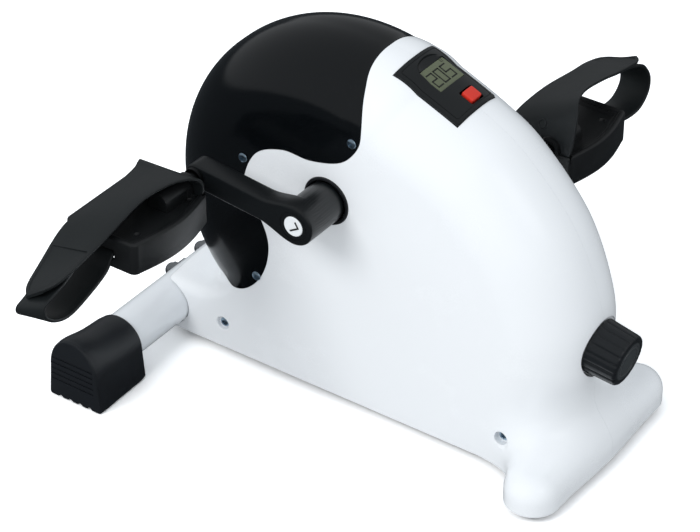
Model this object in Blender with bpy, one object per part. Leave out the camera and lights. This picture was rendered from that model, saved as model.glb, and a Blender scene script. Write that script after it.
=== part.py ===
"""Mini pedal exerciser with magnetic brake, in metres with +Z up.

The origin is under the middle of the front foot, on the floor. The user sits at +X
and faces -X, so the left crank is at -Y. The housing is mirrored about the plane Y = 0.
"""

import math

import bmesh
import bpy
import numpy as np
from mathutils import Matrix, Vector

SIDES = (("left", -1), ("right", 1))
PART_GAP = 0.0003
THROUGH = 0.0100
FAR_OUT = 0.5000

# Housing: a pillow section swept round the drum and the slope, open below
SIDE = 0.0574
SIDE_BULGE = 0.0035
BULGE_REACH = 0.075
CREST_RADIUS = 0.055
DRUM_CENTRE = (-0.2222, 0.160)
DRUM_RADIUS = 0.1555
DRUM_ARC = (250, 74, -6)
SLOPE_POINTS = ((-0.170, 0.3100), (-0.104, 0.2820), (-0.064, 0.2570), (-0.018, 0.2060),
                (0.0075, 0.1450), (0.0105, 0.100), (0.0020, 0.0500), (-0.0060, -0.070))
CORE_FLOOR = ((-0.054 - CREST_RADIUS, -0.070), (-0.262, -0.070))
HOUSING_BASE = 0.0072
OPEN_BELOW = -0.0500
WALL = 0.0030

# Front foot of the housing, blended into it by fillets
FOOT_END_Y = 0.0783
FOOT_RADIUS = 0.0226
FOOT_TOP = 0.0420
FOOT_ROUND = 0.0170
FOOT_BLEND = 0.0300
PAD_END_Y = 0.0775
PAD_RADIUS = 0.0180
PAD_EDGE = 0.0015
PAD_TOP = 0.0069
PAD_PLUG_RADIUS = 0.0130
PAD_PLUG_TOP = 0.0117

# Tail of the housing over the stabiliser tube
TUBE_X = -0.3727
TUBE_Z = 0.0305
TUBE_RADIUS = 0.0200
TUBE_WALL = 0.0020
TUBE_SIDES = 24
TUBE_END = 0.1800
TAIL_END = -0.3765
TAIL_ROOT = -0.2350
TAIL_TOP = 0.0540
TAIL_RISE = 0.0240
TAIL_RISE_START = -0.3450
TAIL_RISE_LENGTH = 0.0600
TAIL_CROWN = 0.0050
TAIL_EDGE = 0.0080
TAIL_BLEND = 0.0140

# Black cover over the drum: its edge on the side walls, from the crest round the crank to the tail
COVER_WALL = 0.0020
COVER_EDGE = ((-0.1905, 0.340), (-0.1900, 0.3120), (-0.1830, 0.2940), (-0.1772, 0.2700), (-0.1790, 0.2530),
              (-0.1945, 0.2352), (-0.2230, 0.2268), (-0.2500, 0.2265), (-0.2760, 0.2140), (-0.2885, 0.1870),
              (-0.2840, 0.1660), (-0.2720, 0.1505), (-0.2660, 0.1300), (-0.2700, 0.1060), (-0.2820, 0.0850),
              (-0.3000, 0.0735), (-0.3250, 0.0790), (-0.3450, 0.0900), (-0.3800, 0.1080))
COVER_OUTSIDE = ((-0.430, 0.120), (-0.430, 0.345))
COVER_SCREWS = ((-0.2890, 0.2050), (-0.1842, 0.2560), (-0.2790, 0.0945))
LIP_START = 0.0026
LIP_END = 0.0048
LIP_REACH = 0.0085
LIP_ROOT = 0.0030

# Screws: their holes, and the round recesses of those low on the housing
LOW_SCREWS = ((-0.3161, 0.0306), (-0.0425, 0.0350))
SCREW_HOLE = 0.0022
SCREW_SHAFT = 0.0017
SCREW_HEAD = 0.0041
SCREW_RISE = 0.0020
SCREW_LENGTH = 0.0110
RECESS_RADIUS = 0.0060
RECESS_DEPTH = 0.0035
BOSS_DEPTH = 0.0415

# Sampling of the housing's skin: slices round a pole on the middle plane, in degrees, and stations along each
POLE = (-0.2074, 0.0, 0.0820)
FIRST_SLICE = -140.0
LOW_END = -35.0
TAIL_SLICES = (178.0, 203.0)
SLICE_STEP = 9.0
TAIL_STEP = 4.4
LOW_STEP = 21.0
STATIONS = 8
FAN_START = 0.040
FINE_FLAT = 36
FINE_FAN = 48
LENGTH_WEIGHT = 0.035
BEND_WEIGHT = 0.35
HALVINGS = 26
NUDGE = 0.00005
GRAZING = 0.4
FLARE_SINK = 0.0008
FLARE_STATIONS = (0.0, 0.0350, 0.0550, 0.0595, 0.0640, 0.0700)
FLARE_HEIGHTS = (-0.0300, 0.0100)
FLARE_RISES = (0, 15, 30, 45, 60, 70, 80)
FLARE_TURN = 20
FLARE_REACH = 0.1

# Cranks
CRANK_X = -0.2074
CRANK_Z = 0.1957
CRANK_LENGTH = 0.0945
CRANK_ANGLE = math.radians(173.65)
BOSS_RADIUS = 0.0172
BOSS_INNER = 0.0607
BOSS_SECTION = ((0.0162, 0.0), (BOSS_RADIUS, 0.0010), (BOSS_RADIUS, 0.0300))
ARM_INNER = 0.0867
ARM_OUTER = 0.1047
ARM_HALF = 0.0102
ARM_FLARE = 0.0160
ARM_ROUND = 0.0016
CAP_RADIUS = 0.0087
CAP_SEAT = 0.0091
CAP_DEPTH = 0.0042
CAP_SECTION = ((CAP_RADIUS, 0.0008), (CAP_RADIUS, 0.0038), (0.0080, 0.0045))
EYE_RADIUS = 0.0059
RING_INNER = 0.0182
RING_OUTER = 0.0212
RING_FLANGE = 0.0236
RING_FLANGE_THICK = 0.0020
RING_FACE = 0.0645
RING_LENGTH = 0.0112
SPINDLE_RADIUS = 0.0080
SPINDLE_END = 0.0920
CRANK_BOLT = ((0.0060, -0.0010), (0.0060, 0.0045), (0.0050, 0.0055))

# Pedals, measured from their axle
PEDAL_INNER = 0.1144
PEDAL_OUTER = 0.2063
PEDAL_HEEL = 0.0209
PEDAL_TOE = -0.0480
PEDAL_BOW = 0.0065
PEDAL_TOP = -0.0018
PEDAL_BOTTOM = -0.0291
PEDAL_CORNER = 0.0060
PEDAL_SHELL = 0.0030
PEDAL_RIM = 0.0062
PEDAL_DISH = 0.0034
PEDAL_DECK = 0.0132
PEDAL_RIBS_X = (-0.0240, 0.0020)
PEDAL_RIB_Y = 0.1600
PEDAL_RIB = 0.0011
AXLE_RADIUS = 0.0060
AXLE_BORE = 0.0062
AXLE_SECTION = ((0.0053, 0.0), (0.0053, 0.0183), (0.0085, 0.0183), (0.0085, 0.0220), (AXLE_RADIUS, 0.0220),
                (AXLE_RADIUS, 0.0625))
TUNNEL_RADIUS = 0.0092
TUNNEL_END = 0.1520
BORE_END = 0.1500
INNER_SLOT_Y = (0.1168, 0.1206)
INNER_SLOTS_X = ((-0.0495, -0.0100), (0.0100, 0.0200))
INNER_SLOT_DEPTH = 0.0078
OUTER_SLOT_X = (-0.0295, 0.0005)
OUTER_SLOT_Z = (-0.0215, -0.0125)
OUTER_SLOT_Y = (0.2024, 0.2150)

# Straps as (distance from the middle plane, height of toe edge, height of heel edge, toe edge, heel edge),
# the heights and edges measured from the pedal axle
STRAP_THICK = 0.0030
STRAP_STEPS = 2
STRAP_TUNNEL_GAP = 0.0012
LEFT_INNER = ((0.1187, -0.0074, -0.0074, -0.0440, 0.0150), (0.1188, 0.0008, 0.0008, -0.0480, 0.0190),
              (0.1225, 0.0108, 0.0108, -0.0495, 0.0205), (0.1310, 0.0178, 0.0183, -0.0465, 0.0180),
              (0.1460, 0.0188, 0.0193, -0.0390, 0.0105), (0.1660, 0.0153, 0.0163, -0.0325, 0.0040),
              (0.1840, 0.0108, 0.0123, -0.0310, 0.0020), (0.2170, 0.0013, 0.0038, -0.0310, 0.0020),
              (0.2500, -0.0102, -0.0022, -0.0310, 0.0020), (0.2730, -0.0190, -0.0075, -0.0290, 0.0000),
              (0.2810, -0.0220, -0.0100, -0.0230, -0.0060))
LEFT_OUTER = ((0.2032, -0.0162, -0.0162, -0.0280, -0.0010), (0.2090, -0.0200, -0.0200, -0.0290, 0.0000),
              (0.2160, -0.0280, -0.0280, -0.0290, 0.0000), (0.2360, -0.0367, -0.0362, -0.0290, 0.0000),
              (0.2580, -0.0432, -0.0417, -0.0290, 0.0000), (0.2740, -0.0410, -0.0380, -0.0290, 0.0000),
              (0.2850, -0.0355, -0.0290, -0.0290, 0.0000), (0.2860, -0.0300, -0.0190, -0.0290, 0.0000),
              (0.2780, -0.0268, -0.0150, -0.0290, 0.0000), (0.2620, -0.0202, -0.0102, -0.0290, 0.0000),
              (0.2450, -0.0140, -0.0064, -0.0260, -0.0030))
RIGHT_INNER = ((0.1187, -0.0074, -0.0074, -0.0440, 0.0150), (0.1188, 0.0008, 0.0008, -0.0480, 0.0190),
               (0.1210, 0.0110, 0.0147, -0.0490, 0.0205), (0.1270, 0.0190, 0.0327, -0.0470, 0.0190),
               (0.1400, 0.0232, 0.0382, -0.0400, 0.0120), (0.1650, 0.0237, 0.0337, -0.0325, 0.0045),
               (0.1990, 0.0212, 0.0262, -0.0310, 0.0020), (0.2200, 0.0187, 0.0210, -0.0310, 0.0020),
               (0.2420, 0.0130, 0.0170, -0.0310, 0.0020), (0.2580, 0.0070, 0.0137, -0.0290, 0.0000),
               (0.2660, 0.0040, 0.0118, -0.0230, -0.0060))
RIGHT_OUTER = ((0.2032, -0.0162, -0.0162, -0.0280, -0.0010), (0.2090, -0.0190, -0.0190, -0.0290, 0.0000),
               (0.2250, -0.0293, -0.0293, -0.0290, 0.0000), (0.2460, -0.0363, -0.0363, -0.0290, 0.0000),
               (0.2670, -0.0378, -0.0368, -0.0290, 0.0000), (0.2800, -0.0293, -0.0273, -0.0290, 0.0000),
               (0.2815, -0.0173, -0.0143, -0.0290, 0.0000), (0.2750, -0.0060, -0.0030, -0.0290, 0.0000),
               (0.2640, -0.0005, 0.0065, -0.0290, 0.0000), (0.2440, 0.0082, 0.0122, -0.0260, -0.0030))

# Monitor on the back of the housing, along the line between its two short edges
MONITOR_ENDS = ((-0.1690, 0.3065), (-0.1102, 0.2813))
MONITOR_HALF = 0.0264
MONITOR_PROUD = 0.0012
MONITOR_DEPTH = 0.0140
MONITOR_CORNER = 0.0050
POCKET_WALL = 0.0020
LENS_LOW = (-0.0187, -0.0132, -0.0009)
LENS_HIGH = (0.0037, 0.0192, 0.0003)
BUTTON_LOW = (0.0149, -0.0016, -0.0068)
BUTTON_HIGH = (0.0258, 0.0116, 0.0014)
BUTTON_WELL = 0.0085
BUTTON_GAP = 0.0004
LEAD_HOLE = 0.0026
LEAD_HOLE_X = -0.0100

# Tension knob
KNOB_BASE = (0.0058, 0.1110)
KNOB_FACE = (0.0308, 0.1070)
KNOB_FLUTES = 18
KNOB_RECESS = 0.0165
KNOB_RECESS_DEPTH = 0.0012
KNOB_FACE_EDGE = 0.0006
KNOB_GRIP = ((0.0231, 0.0002, -0.024), (0.0229, 0.0016, 0.197), (0.0213, 0.0016, 0.882),
             (0.0191, 0.0002, 1.0))
KNOB_SOCKET = 0.0150
CUP_RADIUS = 0.0252
CUP_WALL = 0.0025
CUP_DEPTH = 0.0012
SPINDLE_HOLE = 0.0066
TENSION_RADIUS = 0.0040
TENSION_SPINDLE = ((TENSION_RADIUS, -0.0327), (TENSION_RADIUS, 0.0145))
BUSH_SECTION = ((0.0043, -0.0070), (0.0088, -0.0070), (0.0088, -0.0044), (0.0062, -0.0044), (0.0062, -0.0015),
                (0.0043, -0.0015))
CAM_RADIUS = 0.0085
CAM_ENDS = (-0.0320, -0.0262)
CAM_OFFSET = 0.0022

# Welded frame of rectangular tubes, from low corner to high corner, and its round bottom bracket
FRAME_WALL = 0.0020
KEEL = ((-0.3410, -0.0200, 0.0120), (-0.0145, 0.0200, 0.0320))
CROSS_TUBE = ((-0.0150, -0.0700, 0.0120), (0.0110, 0.0700, 0.0320))
POST = ((-0.2230, -0.0150, 0.0250), (-0.1930, 0.0150, 0.1800))
BRACKET_RADIUS = 0.0200
BRACKET_BORE = 0.0170
BRACKET_OVERLAP = 0.0010
BRACKET_ENDS = (-0.0350, 0.0180)
SADDLE_WALL = 0.0030
SADDLE_ARC = 62
SADDLE_HALF = 0.0300
NECK = ((-0.3510, -0.0100, 0.0130), (-0.3400, 0.0100, 0.0310))
PLATE_THICK = 0.0030
PLATE_RADIUS = 0.0140
PLATE_NEAR = ((-1, 0.0190), (1, 0.0380))
PLATE_BASE = ((-0.1400, 0.0400), (-0.1400, 0.0140), (-0.0850, 0.0140), (-0.0850, 0.0400))
PLATE_FOOT = ((-0.1390, 0.0190, 0.0150), (-0.0860, 0.0395, 0.0180))
EAR_ENDS = ((-0.0157, -0.0127), (0.0087, 0.0117))
EAR_FOOT = (0.0085, 0.0310)
EAR_RADIUS = 0.0070

# Bolts and nuts that hold the stabiliser tube
BOLT_Y = 0.0200
BOLT_START = -0.4010
BOLT_END = -0.3485
BOLT_RADIUS = 0.0040
BOLT_HOLE = 0.0046
BOLT_SIDES = 8
NUT_SEAT = -0.3945
NUT_SECTION = ((0.0075, -0.0010), (0.0075, 0.0045), (0.0064, 0.0048), (0.0045, 0.0088), (0.0012, 0.0099),
               (0.0012, 0.0076), (0.0046, 0.0072), (0.0046, -0.0010))
BOLT_HEAD = ((0.0020, -0.0038), (0.0060, -0.0028), (0.0080, -0.0010), (0.0080, 0.0), (BOLT_RADIUS, 0.0),
             (BOLT_RADIUS, BOLT_END - BOLT_START))
WASHER_THICK = 0.0019
WASHER_HALF = 0.0100
WASHER_ARC = 24

# End caps of the stabiliser tube: (distance from the middle plane, half width, height, rounding inset)
CAP_MIDDLE = -0.37295
CAP_START = 0.1220
CAP_END = 0.1830
CAP_SECTIONS = ((0.1220, 0.0235, 0.0530, 0.0010), (0.1230, 0.0235, 0.0530, 0.0),
                (0.1500, 0.0238, 0.0560, 0.0), (0.1680, 0.0243, 0.0605, 0.0), (0.1755, 0.0245, 0.0620, 0.0),
                (0.1800, 0.0243, 0.0616, 0.0006), (0.1830, 0.0235, 0.0600, 0.0030))
CAP_CORNER = 0.0040
SOLE_GROOVES = (0.1330, 0.1470, 0.1610)
SOLE_GROOVE_RADIUS = 0.0040
SOLE_GROOVE_Z = -0.0015
RIB_GAPS = 5
RIB_START = 0.0120
RIB_STEP = 0.0095
RIB_GAP = 0.0040
RIB_DEPTH = 0.0012

# Flywheel, belt and brake; the section of each turned piece is (radius, place along Y)
WHEEL_X = -0.1122
WHEEL_Z = 0.1100
WHEEL_SECTION = ((0.0140, -0.0120), (0.0210, -0.0120), (0.0230, -0.0060), (0.0600, -0.0060),
                 (0.0620, -0.0120), (0.0720, -0.0120), (0.0720, 0.0080), (0.0620, 0.0080), (0.0600, 0.0020),
                 (0.0230, 0.0020), (0.0210, 0.0080), (0.0140, 0.0080))
PULLEY_LOW = 0.0240
PULLEY_HIGH = 0.0320
BIG_PULLEY = 0.0850
SMALL_PULLEY = 0.0140
SMALL_SECTION = ((0.0093, 0.0083), (0.0120, 0.0083), (0.0120, 0.0225), (0.0165, 0.0225), (0.0165, 0.0236),
                 (SMALL_PULLEY, 0.0238), (SMALL_PULLEY, 0.0322), (0.0165, 0.0325), (0.0165, 0.0335),
                 (0.0093, 0.0335))
BIG_SECTION = ((0.0083, 0.0190), (0.0200, 0.0190), (0.0200, 0.0275), (0.0780, 0.0275), (0.0780, PULLEY_LOW),
               (BIG_PULLEY, PULLEY_LOW), (BIG_PULLEY, PULLEY_HIGH), (0.0083, PULLEY_HIGH))
BELT_INNER = 0.0002
BELT_OUTER = 0.0026
BELT_EDGE = 0.0005
WHEEL_AXLE_RADIUS = 0.0060
WHEEL_AXLE_ENDS = (-0.0310, 0.0500)
WHEEL_BORE = 0.0062
WHEEL_BEARINGS = (("left_flywheel_bearing", 0.0135, -0.0110, -0.0030),
                  ("right_flywheel_bearing", 0.0088, 0.0245, 0.0315))
WHEEL_NUTS = (-0.0275, 0.0413)
WHEEL_NUT_RADIUS = 0.0098
WHEEL_NUT_HEIGHT = 0.0050
CRANK_BEARINGS = (("left_crank_bearing", -0.0345), ("right_crank_bearing", 0.0095))
CRANK_BEARING_RADIUS = 0.0165
CRANK_BEARING_BORE = 0.0083
CRANK_BEARING_WIDTH = 0.0080
HINGE_X = -0.0455
HINGE_Z = 0.0520
PIN_RADIUS = 0.0030
PIN_BORE = 0.0032
PIN_ENDS = (-0.0180, 0.0140)
MAGNET_ARM = (0.0755, 0.0785, -36, 40)
MAGNET_ARM_Y = (-0.0110, 0.0070)
MAGNET_STRIP = (0.0732, 0.0750, -24, 32)
MAGNET_STRIP_Y = (-0.0100, 0.0060)
ARM_HEEL = ((-0.0540, 0.0660), (-0.0470, 0.0700), (-0.0405, 0.0540), (-0.0505, 0.0500))
ARM_HEEL_Y = (-0.0045, 0.0070)
ARM_EYE = 0.0060
SPRING_RADIUS = 0.0049
SPRING_WIRE = 0.0006
SPRING_TURNS = 3
SPRING_STEPS = 8
SPRING_START = -0.0115
SPRING_LENGTH = 0.0060

# Speed sensor on the post, its lead up to the monitor, and the magnet on the large pulley
SENSOR = ((-0.2150, 0.0153, 0.1280), (-0.2000, 0.0205, 0.1430))
SENSOR_EDGE = 0.0008
LEAD_RADIUS = 0.0013
LEAD_ROUTE = ((-0.2075, 0.0180, 0.1420), (-0.2100, 0.0180, 0.1480), (-0.2320, 0.0170, 0.1640),
              (-0.2400, 0.0120, 0.1960), (-0.2250, 0.0030, 0.2400), (-0.1800, 0.0, 0.2640),
              (-0.1583, 0.0, 0.2758), (-0.1546, 0.0, 0.2844))
MAGNET_REACH = 0.0600
MAGNET_RADIUS = 0.0040
MAGNET_ENDS = (0.0213, 0.0235)

# Colour, roughness and metallic value of each finish
FINISHES = {
    "white_plastic": ((0.87, 0.89, 0.91), 0.28, 0.0),
    "black_gloss": ((0.012, 0.014, 0.016), 0.07, 0.0),
    "black_satin": ((0.022, 0.024, 0.027), 0.42, 0.0),
    "black_pvc": ((0.020, 0.023, 0.026), 0.50, 0.0),
    "black_rubber": ((0.020, 0.021, 0.024), 0.60, 0.0),
    "white_paint": ((0.84, 0.87, 0.90), 0.22, 0.0),
    "grey_plastic": ((0.10, 0.11, 0.11), 0.40, 0.0),
    "red_plastic": ((0.72, 0.06, 0.04), 0.35, 0.0),
    "lcd_glass": ((0.12, 0.15, 0.09), 0.12, 0.0),
    "zinc": ((0.55, 0.62, 0.68), 0.30, 1.0),
    "black_steel": ((0.03, 0.03, 0.03), 0.45, 0.8),
    "bright_steel": ((0.60, 0.61, 0.62), 0.28, 1.0),
    "cast_iron": ((0.16, 0.16, 0.17), 0.55, 0.9),
    "magnet": ((0.45, 0.45, 0.47), 0.30, 1.0),
}
SMOOTH_ANGLE = math.radians(35)
SKIN_FLAT = 2.5
NEARLY_FLAT = 0.3


def smooth_step(value):
    value = np.clip(value, 0.0, 1.0)
    return value * value * (3.0 - 2.0 * value)


def smooth_union(first, second, reach):
    overlap = np.clip(reach - np.abs(first - second), 0.0, None) / reach
    return np.minimum(first, second) - overlap * overlap * reach / 4.0


def spline(points, steps):
    """Points on a Catmull-Rom curve through the given points."""
    points = [np.array(p, float) for p in points]
    padded = [2 * points[0] - points[1], *points, 2 * points[-1] - points[-2]]
    curve = []
    for i in range(1, len(padded) - 2):
        before, start, end, after = padded[i - 1:i + 3]
        for step in range(steps):
            t = step / steps
            curve.append(0.5 * (2 * start + (end - before) * t
                                + (2 * before - 5 * start + 4 * end - after) * t * t
                                + (3 * start - before - 3 * end + after) * t ** 3))
    curve.append(points[-1])
    return np.array(curve)


def arc_points(x, z, radius, start, end, steps):
    """Points of an arc in the XZ plane, between two angles in degrees."""
    turns = [math.radians(start + (end - start) * i / steps) for i in range(steps + 1)]
    return [(x + radius * math.cos(turn), z + radius * math.sin(turn)) for turn in turns]


def crest_line():
    """Outline of the housing on its middle plane, from the low front round the drum to the foot."""
    drum = [arc_points(*DRUM_CENTRE, DRUM_RADIUS, turn, turn, 1)[0] for turn in range(*DRUM_ARC)]
    return np.vstack([drum, spline(SLOPE_POINTS, 8)])


def inward(points, distance):
    """The line moved to its right-hand side, which is the inside of an outline drawn clockwise."""
    heading = np.gradient(points, axis=0)
    heading /= np.linalg.norm(heading, axis=1)[:, None]
    return points + np.column_stack([heading[:, 1], -heading[:, 0]]) * distance


def outline_distance(outline, x, z):
    """Signed distance in the XZ plane to a closed outline, negative inside."""
    start = outline
    end = np.roll(outline, -1, axis=0)
    edge = end - start
    point = np.stack([x, z], axis=-1)[..., None, :]
    share = ((point - start) * edge).sum(-1) / (edge * edge).sum(-1)
    nearest = start + np.clip(share, 0.0, 1.0)[..., None] * edge
    distance = np.linalg.norm(point - nearest, axis=-1).min(-1)
    crosses = (start[:, 1] > z[..., None]) != (end[:, 1] > z[..., None])
    rise = np.where(edge[:, 1] == 0.0, 1e-12, edge[:, 1])
    left_of = x[..., None] < start[:, 0] + (z[..., None] - start[:, 1]) / rise * edge[:, 0]
    inside = (crosses & left_of).sum(-1) % 2 == 1
    return np.where(inside, -distance, distance)


CORE = np.vstack([inward(crest_line(), CREST_RADIUS), CORE_FLOOR])


def side_width(x, z):
    """Half width of the housing wall, fullest round the crank axle."""
    reach = ((x - CRANK_X) ** 2 + (z - CRANK_Z) ** 2) / (2 * BULGE_REACH ** 2)
    return SIDE + SIDE_BULGE * np.exp(-reach)


def body_distance(points):
    """Distance from points to the skin of the drum, slope and tail, negative inside it."""
    x, y, z = points[..., 0], np.abs(points[..., 1]), points[..., 2]
    width = side_width(x, z)
    across = np.clip(y - (width - CREST_RADIUS), 0.0, None)
    core = np.clip(outline_distance(CORE, x, z), 0.0, None)
    drum = np.hypot(core, across) - CREST_RADIUS

    ridge = TAIL_TOP + TAIL_RISE * smooth_step((x - TAIL_RISE_START) / TAIL_RISE_LENGTH)
    ridge = ridge + TAIL_CROWN * (1.0 - np.clip(y / SIDE, 0.0, 1.0) ** 2)
    over = np.stack([TAIL_END - x, x - TAIL_ROOT, y - width, z - ridge], axis=-1) + TAIL_EDGE
    tail = np.linalg.norm(np.clip(over, 0.0, None), axis=-1) + np.minimum(over.max(-1), 0.0) - TAIL_EDGE
    body = np.maximum(smooth_union(drum, tail, TAIL_BLEND), y - width)
    return np.maximum(body, OPEN_BELOW - z)


def foot_distance(points):
    """Distance to the slot-shaped front foot alone, with its rounded top."""
    x, y, z = points[..., 0], np.abs(points[..., 1]), points[..., 2]
    plan = np.hypot(x, np.clip(y - FOOT_END_Y, 0.0, None)) - FOOT_RADIUS
    rim = np.stack([plan, z - FOOT_TOP], axis=-1) + FOOT_ROUND
    return np.linalg.norm(np.clip(rim, 0.0, None), axis=-1) + np.minimum(rim.max(-1), 0.0) - FOOT_ROUND


def housing_distance(points):
    """Distance to the outer skin of the whole housing, with the foot blended into the body."""
    return smooth_union(body_distance(points), foot_distance(points), FOOT_BLEND)


def flare_distance(points):
    """Distance to the foot with its fillets, which sink just under the body's skin where they run out."""
    foot = foot_distance(points)
    sunk = housing_distance(points) + FLARE_SINK * smooth_step(foot / FOOT_BLEND)
    return np.maximum(sunk, foot - FOOT_BLEND)


def travel_to_skin(field, origins, directions, reach):
    """How far each ray runs before it meets the surface where a field is zero, found by halving."""
    near = np.zeros(len(origins))
    far = np.full(len(origins), reach)
    for _ in range(HALVINGS):
        middle = (near + far) / 2
        inside = field(origins + directions * middle[:, None]) < 0.0
        near = np.where(inside, middle, near)
        far = np.where(inside, far, middle)
    return (near + far) / 2


def skin_y(x, z):
    """Half width of the housing at a place on its side wall."""
    start, heading = np.array([[x, 0.0, z]]), np.array([[0.0, -1.0, 0.0]])
    return travel_to_skin(housing_distance, start, heading, CREST_RADIUS * 2)[0]


def slice_angles():
    """Slices round a low pole, closer together over the tail and wider apart below."""
    angles = []
    angle = FIRST_SLICE
    while angle < FIRST_SLICE + 360 - SLICE_STEP / 2:
        angles.append(math.radians(angle))
        if angle < LOW_END or angle > TAIL_SLICES[1]:
            angle += LOW_STEP
        elif angle >= TAIL_SLICES[0]:
            angle += TAIL_STEP
        else:
            angle += SLICE_STEP
    return np.array(angles)


def fan_rays(outward, distance, turn):
    """Rays that leave the middle plane square to the side, then turn towards the crest."""
    origins = np.array(POLE) + distance[:, None] * outward
    directions = np.sin(turn)[:, None] * outward - np.cos(turn)[:, None] * np.array([0.0, 1.0, 0.0])
    return origins, directions


def slice_points(angle):
    """Points of the skin in one slice, from the pole to the crest, and the ways their rays run."""
    outward = np.array([math.cos(angle), 0.0, math.sin(angle)])
    crest = travel_to_skin(body_distance, np.array(POLE)[None], outward[None], 4 * DRUM_RADIUS)[0]
    fan = crest - FAN_START
    distance = np.concatenate([np.linspace(0.0, fan, FINE_FLAT), np.full(FINE_FAN, fan)])
    turn = np.concatenate([np.zeros(FINE_FLAT), np.linspace(0.0, math.pi / 2, FINE_FAN + 1)[1:]])
    origins, directions = fan_rays(outward, distance, turn)
    skin = origins + directions * travel_to_skin(body_distance, origins, directions, DRUM_RADIUS)[:, None]
    step = np.diff(skin, axis=0)
    length = np.linalg.norm(step, axis=1)
    heading = step / length[:, None]
    bend = np.arccos(np.clip((heading[1:] * heading[:-1]).sum(1), -1.0, 1.0))
    weight = length / LENGTH_WEIGHT + np.concatenate([[0.0], bend]) / BEND_WEIGHT
    along_slice = np.concatenate([[0.0], np.cumsum(weight)])
    places = np.arange(len(along_slice))
    stations = np.interp(np.linspace(0.0, along_slice[-1], STATIONS + 1), along_slice, places)
    origins, directions = fan_rays(outward, np.interp(stations, places, distance),
                                   np.interp(stations, places, turn))
    travel = travel_to_skin(body_distance, origins, directions, DRUM_RADIUS)
    return origins + directions * travel[:, None], directions


def skin_grid():
    """Points of the skin slice by slice, and the step along its ray that lifts each to the next level."""
    points, directions = map(np.array, zip(*(slice_points(angle) for angle in slice_angles())))
    points[:, -1, 1] = 0.0
    normals = np.empty_like(points)
    for axis in range(3):
        shift = np.zeros(3)
        shift[axis] = NUDGE
        normals[..., axis] = body_distance(points + shift) - body_distance(points - shift)
    normals /= np.linalg.norm(normals, axis=-1)[..., None]
    facing = np.maximum((normals * directions).sum(-1), GRAZING)
    return points, directions / facing[..., None]


def pillow_mesh(grid, level):
    """The drum, slope and tail as one closed body whose skin lies at this level."""
    skin = grid[0] + grid[1] * level
    slices, stations = skin.shape[:2]
    shape = bmesh.new()
    crest = [shape.verts.new((p[0], 0.0, p[2])) for p in skin[:, -1]]
    for side in (1, -1):
        apex = shape.verts.new((skin[0, 0, 0], side * skin[0, 0, 1], skin[0, 0, 2]))
        rings = [[shape.verts.new((p[0], side * p[1], p[2])) for p in skin[:, j]]
                 for j in range(1, stations - 1)]
        rings.append(crest)
        for i in range(slices):
            k = (i + 1) % slices
            shape.faces.new((apex, rings[0][i], rings[0][k]))
            for inner, outer in zip(rings, rings[1:]):
                shape.faces.new((inner[i], outer[i], outer[k], inner[k]))
    bmesh.ops.recalc_face_normals(shape, faces=shape.faces)
    bmesh.ops.triangulate(shape, faces=shape.faces)
    return shape


def flare_sections():
    """Upright half planes round the foot, as a point of its middle line and a heading in plan."""
    stations = [-y for y in FLARE_STATIONS[:0:-1]] + list(FLARE_STATIONS)
    sections = [((0.0, y), (1.0, 0.0)) for y in stations]
    turns = [math.radians(turn) for turn in range(0, 181, FLARE_TURN)]
    sections += [((0.0, FOOT_END_Y), (math.cos(turn), math.sin(turn))) for turn in turns]
    sections += [((0.0, y), (-1.0, 0.0)) for y in reversed(stations)]
    sections += [((0.0, -FOOT_END_Y), (-math.cos(turn), -math.sin(turn))) for turn in turns]
    return sections


def flare_mesh(level):
    """The front foot and its fillets as one closed body whose skin lies at this level."""
    def offset(points):
        return flare_distance(points) - level

    shape = bmesh.new()
    tops = {}
    columns = []
    rises = np.radians([0.0] * len(FLARE_HEIGHTS) + list(FLARE_RISES) + [90.0])
    heights = list(FLARE_HEIGHTS) + [FOOT_TOP - FOOT_ROUND] * (len(FLARE_RISES) + 1)
    for (x, y), heading in flare_sections():
        origins = np.array([(x, y, z) for z in heights])
        directions = np.column_stack([np.cos(rises) * heading[0], np.cos(rises) * heading[1], np.sin(rises)])
        skin = origins + directions * travel_to_skin(offset, origins, directions, FLARE_REACH)[:, None]
        if y not in tops:
            tops[y] = shape.verts.new(skin[-1])
        columns.append([shape.verts.new(p) for p in skin[:-1]] + [tops[y]])
    for near, far in zip(columns, columns[1:] + columns[:1]):
        for low in range(len(near) - 1):
            corners = (near[low], far[low], far[low + 1], near[low + 1])
            shape.faces.new(dict.fromkeys(corners))
    shape.faces.new([column[0] for column in columns])
    bmesh.ops.recalc_face_normals(shape, faces=shape.faces)
    bmesh.ops.triangulate(shape, faces=shape.faces)
    return shape


def clear_scene():
    for thing in list(bpy.data.objects):
        bpy.data.objects.remove(thing, do_unlink=True)


def finish_of(name):
    """The material of a finish, made the first time that it is asked for."""
    material = bpy.data.materials.get(name)
    if material is None:
        colour, roughness, metallic = FINISHES[name]
        material = bpy.data.materials.new(name)
        material.use_nodes = True
        shader = material.node_tree.nodes["Principled BSDF"]
        shader.inputs["Base Color"].default_value = (*colour, 1.0)
        shader.inputs["Roughness"].default_value = roughness
        shader.inputs["Metallic"].default_value = metallic
    return material


def make(name, shape, finish="zinc", place=Matrix(), parent=None):
    """An object from a bmesh, placed by its matrix and carried by a parent empty."""
    mesh = bpy.data.meshes.new(name)
    bmesh.ops.recalc_face_normals(shape, faces=shape.faces)
    shape.to_mesh(mesh)
    shape.free()
    piece = bpy.data.objects.new(name, mesh)
    bpy.context.scene.collection.objects.link(piece)
    piece.data.materials.append(finish_of(finish))
    if parent is not None:
        piece.parent = parent
        piece.matrix_parent_inverse = parent.matrix_basis.inverted()
    piece.matrix_basis = place
    mesh.shade_smooth()
    mesh.set_sharp_from_angle(angle=SMOOTH_ANGLE)
    return piece


def pivot(name, x, y, z):
    """An empty on a joint axis that carries the pieces that turn about it."""
    holder = bpy.data.objects.new(name, None)
    bpy.context.scene.collection.objects.link(holder)
    holder.location = (x, y, z)
    return holder


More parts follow.
